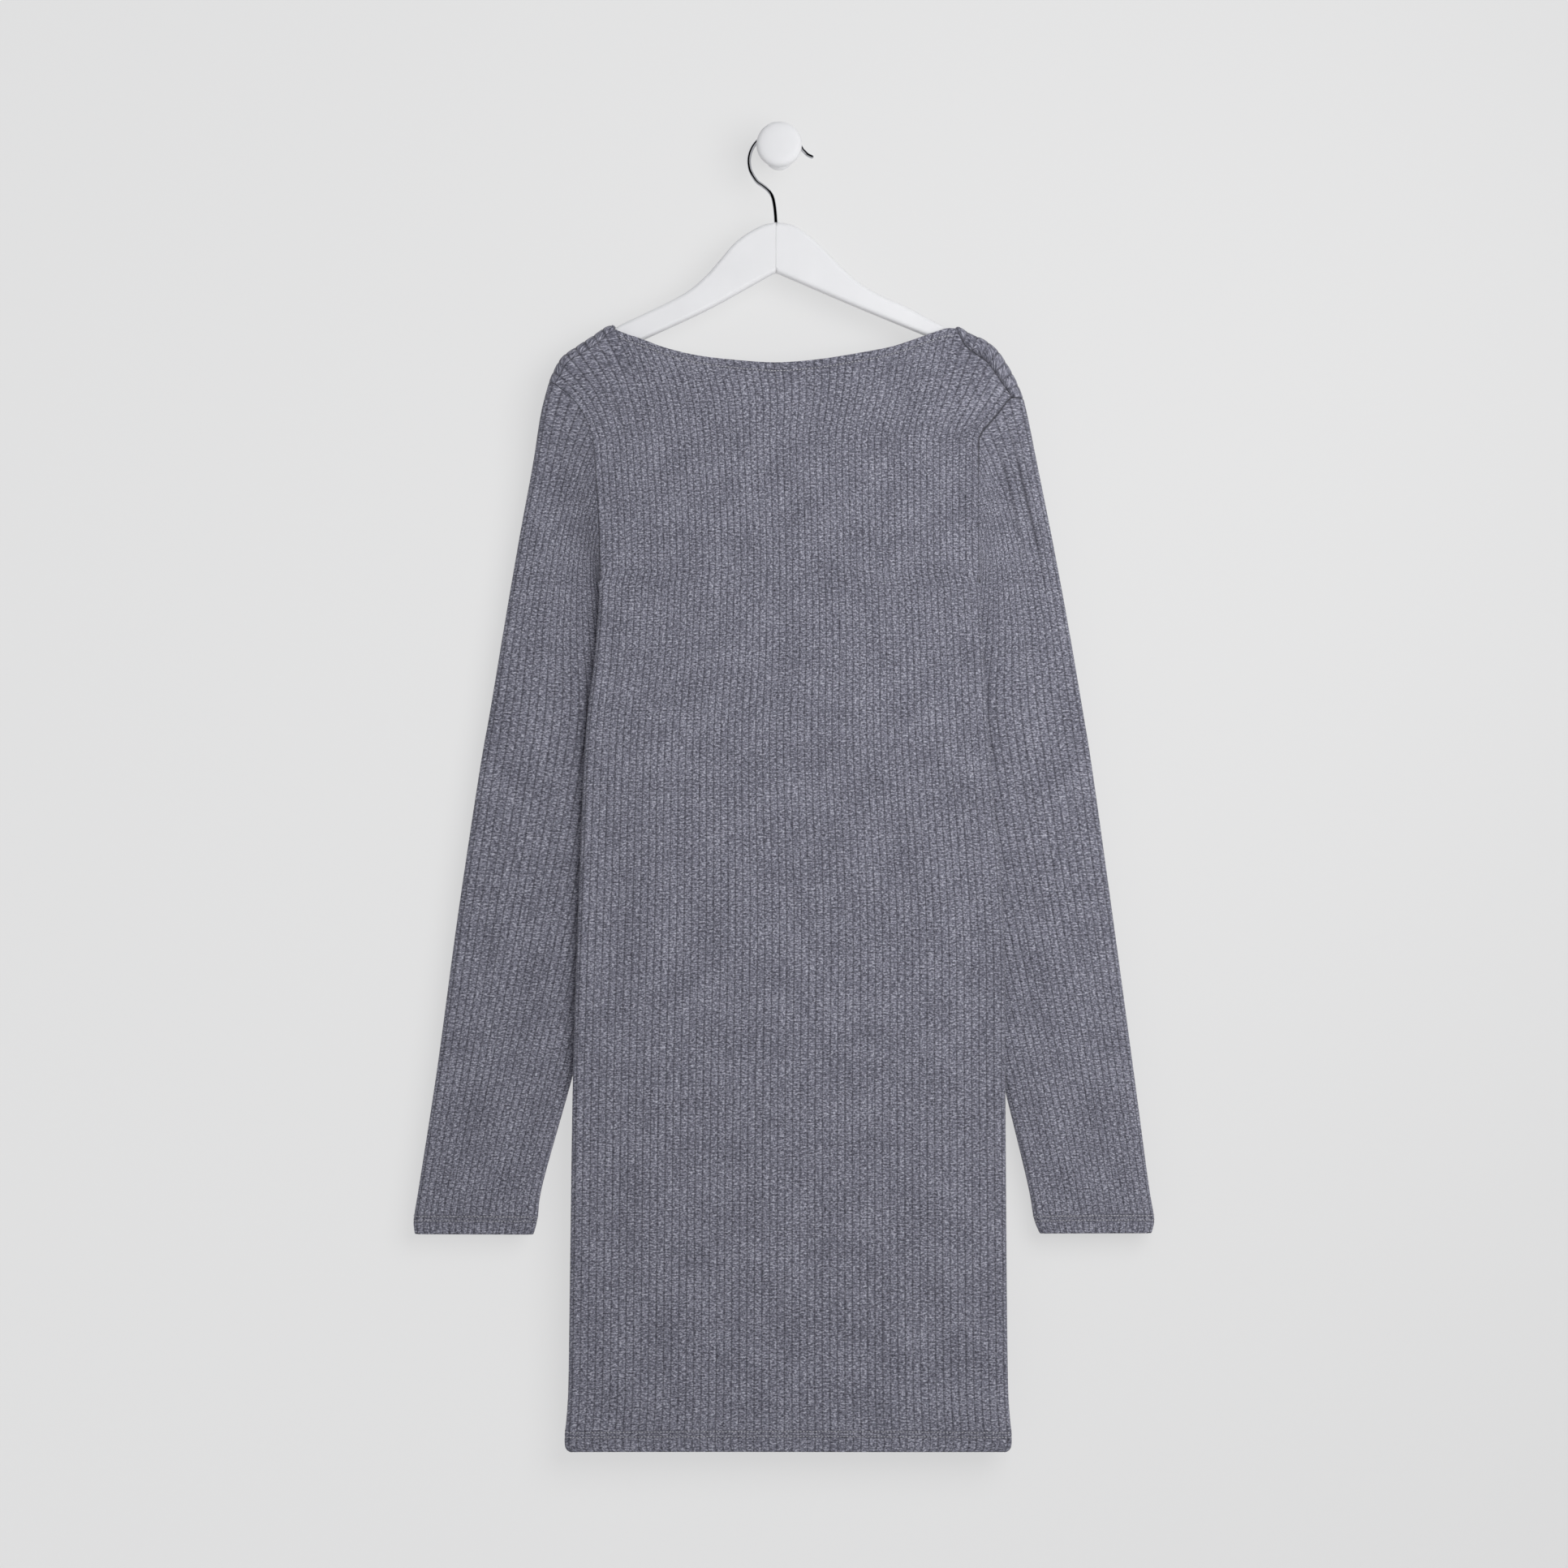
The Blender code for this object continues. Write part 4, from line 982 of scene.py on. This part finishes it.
def hook_piece():
    """The wire: its centre plus radius times (cos a across the line, sin a along the plane's normal)."""
    angles = np.radians(np.linspace(*HOOK_ARC, ARC_POINTS))
    arc = HOOK_CENTRE + HOOK_RADIUS * np.stack([np.cos(angles), np.sin(angles)], axis=-1)
    line = along(smooth(np.vstack([HOOK_SHANK, arc, HOOK_TIP])), np.linspace(0.0, 1.0, HOOK_POINTS))
    run = unit(np.gradient(line, axis=0))
    end = np.linspace(math.pi / 2.0, 0.0, END_RINGS + 1)[:-1]
    ahead = np.concatenate([-np.sin(end), np.zeros(HOOK_POINTS), np.sin(end[::-1])]) * WIRE_RADIUS
    girth = np.concatenate([np.cos(end), np.ones(HOOK_POINTS), np.cos(end[::-1])])
    girth = np.maximum(girth, WIRE_TIP)[:, None] * WIRE_RADIUS
    keep = np.clip(np.arange(-END_RINGS, HOOK_POINTS + END_RINGS), 0, HOOK_POINTS - 1)
    line, run = line[keep] + run[keep] * ahead[:, None], run[keep]
    beside = np.stack([-run[:, 1], run[:, 0]], axis=-1)[:, None]
    turn = 2.0 * math.pi * np.arange(WIRE_SIDES) / WIRE_SIDES
    flat = line[:, None] + (girth * np.cos(turn))[..., None] * beside
    return new_piece("hook_wire", *ring_solid(in_space(flat, MIDDLE_PLANE + girth * np.sin(turn))))


hook_wire = hook_piece()

# %% [markdown]
# ## The wall knob
#
# A knob is turned on a lathe, so one profile says everything: the foot on the wall, the neck that the
# hook sits on, the flared head and its softly domed face.

# %% Turned knob
KNOB_PROFILE = [(11, 0), (11, 1.4), (10.4, 2.4), (9.4, 3.6), (9.1, 5), (9.1, 20), (9.1, 37),
                (9.6, 38.8), (11.6, 39.9), (14.4, 40.3), (16, 41.1), (16.6, 42.4), (16.7, 44.2),
                (16.5, 46.2), (15.7, 48), (14, 49.3), (11, 50), (6, 50.3), (1, 50.4)]
KNOB_SIDES = 96


def knob_piece():
    """The profile turned round its axis: radius cos a, minus distance, radius sin a."""
    profile = smooth(KNOB_PROFILE)
    turn = 2.0 * math.pi * np.arange(KNOB_SIDES) / KNOB_SIDES
    flat = profile[:, :1, None] * np.stack([np.cos(turn), np.sin(turn)], axis=-1)
    return new_piece("turned_knob", *ring_solid(in_space(flat, -profile[:, 1:] + 0.0 * turn)))


turned_knob = knob_piece()

# %% [markdown]
# ## Shader helpers
#
# Each effect that more than one finish uses is a node group, with named inputs and outputs. A group
# only works out colours, masks and heights. The Principled shader stays in each material, with its
# constants on its own sockets.

# %% Node helpers
def node_group(name, inputs, outputs):
    """Empty shader group with its sockets, and its input and output nodes."""
    group = bpy.data.node_groups.new(name, "ShaderNodeTree")
    for way, sockets in (("INPUT", inputs), ("OUTPUT", outputs)):
        for socket, kind in sockets:
            group.interface.new_socket(socket, in_out=way, socket_type=kind)
    return group, group.nodes.new("NodeGroupInput"), group.nodes.new("NodeGroupOutput")


def feed(tree, target, source):
    """Link a socket into an input, or set the input to a constant."""
    if isinstance(source, bpy.types.NodeSocket):
        tree.links.new(source, target)
    else:
        target.default_value = source


def fill(tree, node, **sockets):
    """Feed the node's inputs by name, with an underscore for a blank, and give the node back."""
    for name, value in sockets.items():
        feed(tree, node.inputs[name.replace("_", " ")], value)
    return node


def math_node(tree, operation, *values):
    """Result of a Math node."""
    node = tree.nodes.new("ShaderNodeMath")
    node.operation = operation
    for socket, value in zip(node.inputs, values):
        feed(tree, socket, value)
    return node.outputs[0]


def scaled(tree, vector, scale):
    """A vector multiplied by a constant one."""
    node = tree.nodes.new("ShaderNodeVectorMath")
    node.operation = "MULTIPLY"
    feed(tree, node.inputs[0], vector)
    node.inputs[1].default_value = scale
    return node.outputs[0]


def noise(tree, vector, scale, detail=2.0, roughness=0.5):
    """Value of a noise texture, about 0.5 on average."""
    node = tree.nodes.new("ShaderNodeTexNoise")
    return fill(tree, node, Vector=vector, Scale=scale, Detail=detail, Roughness=roughness).outputs[0]


def spread(tree, value, low, high, to_low=0.0, to_high=1.0):
    """A value stretched from one range to another, held at its ends."""
    node = tree.nodes.new("ShaderNodeMapRange")
    for socket, number in zip(node.inputs, (value, low, high, to_low, to_high)):
        feed(tree, socket, number)
    return node.outputs[0]


def mixed(tree, factor, first, second):
    """Two colours mixed by a factor."""
    node = tree.nodes.new("ShaderNodeMix")
    node.data_type = "RGBA"
    for socket, value in ((0, factor), (6, first), (7, second)):
        feed(tree, node.inputs[socket], value)
    return node.outputs[2]


def new_material(name):
    """Material with a Principled shader, its tree and that shader."""
    material = bpy.data.materials.new(name)
    material.use_nodes = True
    return material, material.node_tree, material.node_tree.nodes["Principled BSDF"]


def object_place(tree):
    """Place on the object, in metres from its origin."""
    return tree.nodes.new("ShaderNodeTexCoord").outputs["Object"]


def add_group(tree, group, **inputs):
    """A group placed in a tree, with its named inputs set."""
    node = tree.nodes.new("ShaderNodeGroup")
    node.node_tree = group
    return fill(tree, node, **inputs)


def bump(tree, height, strength, distance, **normal):
    """Normal bent by a height, on top of another bent normal if that is given."""
    node = tree.nodes.new("ShaderNodeBump")
    return fill(tree, node, Height=height, Strength=strength, Distance=distance, **normal).outputs[0]


# %% [markdown]
# ## Melange yarn and knit loops
#
# Melange yarn is spun from fibres of several greys, so each stitch has its own tone, and a lighter or a
# darker streak runs on over two or three stitches. Three patterns give this: noise the size of a
# stitch, longer streaks across the ribs where the yarn runs, and slow cloudiness over several
# centimetres. The knit group adds the loops' relief, and a mask of the groove between two ribs, where
# the colour gets painted shade.

# %% Yarn and knit groups
STITCH_WIDTH, STITCH_HEIGHT = 0.0012, 0.0009
LOOP_SLANT, LOOP_RELIEF = 1.6, 0.35
# Painted shade: how strongly the colour darkens in the rib grooves, and at seams, stitch dents and sharp
# creases.
GROOVE_PAINTED_SHADE, PAINTED_SHADE_STRENGTH = 0.54, 0.85
YARN_NOISES = [
    # share, stretch, scale, detail and roughness of the flecks, the streaks and the clouds
    (0.60, (1.0, 1.25, 1.0), 700.0, 2.0, 0.65), (0.30, (0.6, 1.3, 1.0), 540.0, 1.0, 0.5),
    (0.10, (1.0, 1.0, 1.0), 38.0, 3.0, 0.6),
]


def yarn_group():
    """Tone of melange yarn: a mean of noises at three sizes, stretched to a clear contrast."""
    group, inside, outside = node_group(
        "melange yarn",
        [("Cloth", "NodeSocketVector"), ("Dark", "NodeSocketColor"), ("Middle", "NodeSocketColor"),
         ("Light", "NodeSocketColor")],
        [("Color", "NodeSocketColor"), ("Tone", "NodeSocketFloat")])
    tone = 0.0
    for share, stretch, *grain in YARN_NOISES:
        flecks = noise(group, scaled(group, inside.outputs["Cloth"], stretch), *grain)
        tone = math_node(group, "MULTIPLY_ADD", flecks, share, tone)
    light = mixed(group, spread(group, tone, 0.50, 0.64), inside.outputs["Middle"], inside.outputs["Light"])
    dark = mixed(group, spread(group, tone, 0.36, 0.50), inside.outputs["Dark"], light)
    fill(group, outside, Color=dark, Tone=tone)
    return group


def knit_group():
    """Relief of the rib knit, and a mask of its grooves for painted shade.

    A loop's height is the cosine of its row, shifted by its place across, which draws a V. The groove
    mask is a narrow valley of the rib coordinate's distance from a whole number.
    """
    group, inside, outside = node_group("rib knit", [("Cloth", "NodeSocketVector")],
                                        [("Loops", "NodeSocketFloat"), ("Groove", "NodeSocketFloat")])
    parts = group.nodes.new("ShaderNodeSeparateXYZ")
    group.links.new(inside.outputs["Cloth"], parts.inputs[0])
    wale = math_node(group, "PINGPONG", math_node(group, "DIVIDE", parts.outputs[0], STITCH_WIDTH), 0.5)
    course = math_node(group, "DIVIDE", parts.outputs[1], STITCH_HEIGHT)
    slanted = math_node(group, "ADD", course, math_node(group, "MULTIPLY", wale, LOOP_SLANT))
    loops = math_node(group, "COSINE", math_node(group, "MULTIPLY", slanted, 2.0 * math.pi))
    valley = math_node(group, "MULTIPLY", wale, 2.0)
    beside = math_node(group, "PINGPONG", math_node(group, "DIVIDE", parts.outputs[0], RIB_PITCH * MM), 0.5)
    fill(group, outside, Loops=math_node(group, "MULTIPLY_ADD", loops, LOOP_RELIEF, valley),
         Groove=spread(group, beside, 0.03, 0.15, 1.0, 0.0))
    return group


melange_yarn = yarn_group()
rib_knit = knit_group()


def jersey_material():
    """Mid-grey melange rib jersey: matt, with a faint sheen from loose fibre ends."""
    material, tree, shader = new_material("rib_jersey_fabric")
    cloth = tree.nodes.new("ShaderNodeUVMap")
    cloth.uv_map = "ribs"
    # Painted shade from the mesh: the colour is darkened at seams, stitch dents and sharp creases.
    painted_shade = tree.nodes.new("ShaderNodeAttribute")
    painted_shade.attribute_name = "painted_shade"
    yarn = add_group(tree, melange_yarn, Cloth=cloth.outputs[0], Dark=(0.054, 0.054, 0.068, 1.0),
                     Middle=(0.186, 0.186, 0.232, 1.0), Light=(0.53, 0.53, 0.61, 1.0))
    knit = add_group(tree, rib_knit, Cloth=cloth.outputs[0])
    # Painted shade: the yarn's colour is mixed towards a near black by the groove mask and by the
    # painted-shade attribute.
    shade = math_node(tree, "MAXIMUM", math_node(tree, "MULTIPLY", knit.outputs["Groove"], GROOVE_PAINTED_SHADE),
                      math_node(tree, "MULTIPLY", painted_shade.outputs["Fac"], PAINTED_SHADE_STRENGTH))
    fuzz = bump(tree, yarn.outputs["Tone"], 0.5, 0.0006)
    fill(tree, shader, Base_Color=mixed(tree, shade, yarn.outputs["Color"], (0.045, 0.044, 0.055, 1.0)),
         Roughness=spread(tree, yarn.outputs["Tone"], 0.3, 0.7, 0.95, 0.82),
         Normal=bump(tree, knit.outputs["Loops"], 0.35, 0.00025, Normal=fuzz),
         Specular_IOR_Level=0.25, Sheen_Weight=0.18, Sheen_Roughness=0.45)
    return material


def thread_material():
    """Sewing thread: a paler grey than the cloth, with a fine twist."""
    material, tree, shader = new_material("sewing_thread")
    fibre = noise(tree, object_place(tree), 900.0, 1.0)
    colour = mixed(tree, spread(tree, fibre, 0.35, 0.65), (0.36, 0.36, 0.40, 1.0), (0.64, 0.64, 0.68, 1.0))
    fill(tree, shader, Base_Color=colour, Normal=bump(tree, fibre, 0.4, 0.0002), Roughness=0.62)
    return material


# %% [markdown]
# ## Painted wood and chrome
#
# White furniture paint is not one flat colour: it is a little uneven in tone and gloss, and a brushed or
# sprayed coat leaves a faint orange-peel relief. Chrome is a metal with almost no colour, and its look
# comes from what it mirrors, so it stays nearly smooth.

# %% Paint and chrome
def paint_group():
    """Slow tone and fine relief of a coat of paint, both noises of the place."""
    group, inside, outside = node_group("paint coat", [("Place", "NodeSocketVector")],
                                        [("Tone", "NodeSocketFloat"), ("Relief", "NodeSocketFloat")])
    place = inside.outputs["Place"]
    fill(group, outside, Tone=noise(group, place, 30.0, 3.0), Relief=noise(group, place, 520.0, 2.0))
    return group


paint_coat = paint_group()


def paint_material(name, first, second, roughness):
    """White paint between two close tones, over wood."""
    material, tree, shader = new_material(name)
    coat = add_group(tree, paint_coat, Place=object_place(tree))
    tone, relief = coat.outputs["Tone"], coat.outputs["Relief"]
    fill(tree, shader, Base_Color=mixed(tree, spread(tree, tone, 0.3, 0.7), first, second),
         Roughness=spread(tree, relief, 0.3, 0.7, roughness - 0.05, roughness + 0.05),
         Normal=bump(tree, relief, 0.12, 0.0003))
    return material


def chrome_material():
    """Chromed wire with the faintest drawing marks."""
    material, tree, shader = new_material("chromed_wire")
    marks = noise(tree, scaled(tree, object_place(tree), (1.0, 1.0, 0.3)), 700.0, 2.0)
    fill(tree, shader, Metallic=1.0, Roughness=spread(tree, marks, 0.3, 0.7, 0.03, 0.08),
         Base_Color=mixed(tree, marks, (0.62, 0.63, 0.66, 1.0), (0.76, 0.77, 0.79, 1.0)))
    return material


jersey = jersey_material()
thread = thread_material()
hanger_paint = paint_material("hanger_paint", (0.84, 0.84, 0.85, 1.0), (0.87, 0.87, 0.88, 1.0), 0.42)
knob_paint = paint_material("knob_paint", (0.83, 0.83, 0.84, 1.0), (0.86, 0.86, 0.87, 1.0), 0.45)
chrome = chrome_material()

# %% [markdown]
# ## Putting each piece in its place in the model
#
# Every piece rides on the one body and gets its material; the imported part of each node it stands for
# is hidden. The imported model cuts each sleeve in two along its folds, so one sleeve stands for two
# nodes. The threads ride on the same body.

# %% Nodes and materials
PIECES = [
    (back_cloth, ["back_panel"], "rib_jersey", jersey),
    (front_cloth, ["front_panel"], "rib_jersey", jersey),
    (sleeve_left, ["sleeve_left_back", "sleeve_left_front"], "rib_jersey", jersey),
    (sleeve_right, ["sleeve_right_back", "sleeve_right_front"], "rib_jersey", jersey),
    (hanger_arms, ["hanger"], "painted_wood", hanger_paint),
    (hook_wire, ["hanger_hook"], "chrome_wire", chrome),
    (turned_knob, ["wall_knob"], "painted_knob", knob_paint),
]
for piece, nodes, slot, material in PIECES:
    piece.data.materials.append(material)
    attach(piece, "root")
    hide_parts(*nodes)
for piece in (neck_thread, hem_thread, *cuff_threads.values()):
    piece.data.materials.append(thread)
    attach(piece, "root")


# %% [markdown]
# ## Wall and floor
#
# A pale wall behind and a pale floor far below are the stage. The picture's wall is lit almost evenly
# and its shadows are faint, as if it had a lamp of its own, so most of its brightness is a glow. The
# wall is one-sided: seen from behind it is clear, so the far side of the dress can be looked at too.

# %% Stage
WALL_TONE, FLOOR_TONE = (0.22, 0.22, 0.22, 1.0), (0.70, 0.70, 0.70, 1.0)
WALL_GLOW, FLOOR_GLOW, GLOW_REACH = (0.61, 0.545), (0.0, 0.0), 0.6
STAGE_HALF, STAGE_NEAR, STAGE_FAR = 4000.0, -5000.0, 3000.0
WALL_PLACE, WALL_TOP, FLOOR_LEVEL = 0.5, 3000.0, -1250.0


def flat_piece(name, corners):
    """A single face."""
    return new_piece(name, corners, [list(range(len(corners)))], smooth_faces=False)


def stage_material(name, tone, glow, one_sided):
    """Matt paint with a faint unevenness; clear from behind if it is one-sided.

    It glows a little more on the left, where the key light reaches less.
    """
    material, tree, shader = new_material(name)
    place = object_place(tree)
    faint = tuple(0.99 * part for part in tone[:3]) + (1.0,)
    across = fill(tree, tree.nodes.new("ShaderNodeSeparateXYZ"), Vector=place)
    fill(tree, shader, Base_Color=mixed(tree, noise(tree, place, 3.0), tone, faint),
         Emission_Strength=spread(tree, across.outputs[0], -GLOW_REACH, GLOW_REACH, *glow),
         Emission_Color=(1.0, 1.0, 1.0, 1.0), Roughness=0.95, Specular_IOR_Level=0.05)
    if one_sided:
        output = tree.nodes["Material Output"]
        back = tree.nodes.new("ShaderNodeNewGeometry").outputs["Backfacing"]
        clear = tree.nodes.new("ShaderNodeBsdfTransparent")
        choose = tree.nodes.new("ShaderNodeMixShader")
        for socket, source in zip(choose.inputs, (back, shader.outputs[0], clear.outputs[0])):
            tree.links.new(source, socket)
        tree.links.new(choose.outputs[0], output.inputs["Surface"])
    return material


backdrop = flat_piece("backdrop", [(x, WALL_PLACE, z) for x, z in (
    (-STAGE_HALF, FLOOR_LEVEL), (STAGE_HALF, FLOOR_LEVEL), (STAGE_HALF, WALL_TOP), (-STAGE_HALF, WALL_TOP))])
floor = flat_piece("floor", [(x, y, FLOOR_LEVEL) for x, y in (
    (-STAGE_HALF, STAGE_NEAR), (STAGE_HALF, STAGE_NEAR), (STAGE_HALF, STAGE_FAR), (-STAGE_HALF, STAGE_FAR))])
backdrop.data.materials.append(stage_material("wall_paint", WALL_TONE, WALL_GLOW, True))
floor.data.materials.append(stage_material("floor_paint", FLOOR_TONE, FLOOR_GLOW, False))

# %% [markdown]
# ## Light and camera
#
# The photograph's brightest place is the right shoulder, and the dress gets darker towards the hem and
# the left cuff. A large square light, near and a little to the right, does that: its light falls off
# with distance, and its size blurs the shadows on the wall. A bright room fills in the rest. Polished
# wire mirrors the dark side of the room behind the camera, so only glossy rays see that side as dark.
# The Standard view keeps tones as they are, which suits a flat, bright studio picture.

# %% Key light and room
KEY_PLACE, KEY_TARGET = (0.50, -1.15, -0.12), (0.02, -0.03, -0.42)
KEY_POWER, KEY_SIDE = 11.6, 0.9
ROOM_LIGHT, ROOM_DARK = (0.95, 0.96, 1.0, 1.0), (0.0, 0.0, 0.0, 1.0)
ROOM_STRENGTH = 0.36
DARK_TOWARDS, DARK_EDGE = (0.10, -0.995, 0.0), (0.12, 0.26)


def key_light():
    """A square soft light aimed at the middle of the dress; neither the camera nor a mirror sees it."""
    data = bpy.data.lights.new("key", "AREA")
    data.shape = "SQUARE"
    data.size = KEY_SIDE
    data.energy = KEY_POWER
    light = bpy.data.objects.new("key", data)
    light.location = KEY_PLACE
    light.rotation_euler = (Vector(KEY_PLACE) - Vector(KEY_TARGET)).to_track_quat("Z", "Y").to_euler()
    light.visible_camera = light.visible_glossy = False
    bpy.context.scene.collection.objects.link(light)


def room():
    """World colour: bright all round, with a dark cone that only glossy rays meet."""
    world = bpy.data.worlds.new("room")
    world.use_nodes = True
    tree = world.node_tree
    direction = tree.nodes.new("ShaderNodeTexCoord").outputs["Generated"]
    towards = tree.nodes.new("ShaderNodeVectorMath")
    towards.operation = "DOT_PRODUCT"
    tree.links.new(direction, towards.inputs[0])
    towards.inputs[1].default_value = DARK_TOWARDS
    dark = spread(tree, towards.outputs["Value"], *DARK_EDGE)
    glossy = tree.nodes.new("ShaderNodeLightPath").outputs["Is Glossy Ray"]
    colour = mixed(tree, math_node(tree, "MULTIPLY", dark, glossy), ROOM_LIGHT, ROOM_DARK)
    fill(tree, tree.nodes["Background"], Color=colour, Strength=ROOM_STRENGTH)
    bpy.context.scene.world = world


bpy.context.scene.view_settings.view_transform = "Standard"
key_light()
room()

# %% Camera
PIXEL = 0.6
PICTURE_WIDTH = 1932
CENTRE = (3.6, -471.0)
CLOTH_PLANE, CAMERA_DISTANCE = -35.0, 2500.0
SENSOR = 36.0


def add_camera():
    """A long lens square to the wall; its frame is as wide as the picture at the cloth's plane."""
    data = bpy.data.cameras.new("camera")
    data.sensor_width = SENSOR
    data.lens = SENSOR * CAMERA_DISTANCE / (PIXEL * PICTURE_WIDTH)
    camera = bpy.data.objects.new("camera", data)
    camera.location = (CENTRE[0] * MM, (CLOTH_PLANE - CAMERA_DISTANCE) * MM, CENTRE[1] * MM)
    camera.rotation_euler = (math.radians(90.0), 0.0, 0.0)
    bpy.context.scene.collection.objects.link(camera)
    bpy.context.scene.camera = camera
    print("lens in mm:", round(data.lens, 1))


add_camera()

# %% [markdown]
# ## View transform
#
# The script ends by printing the view transform that it set.

# %% View transform
print("view transform:", bpy.context.scene.view_settings.view_transform)
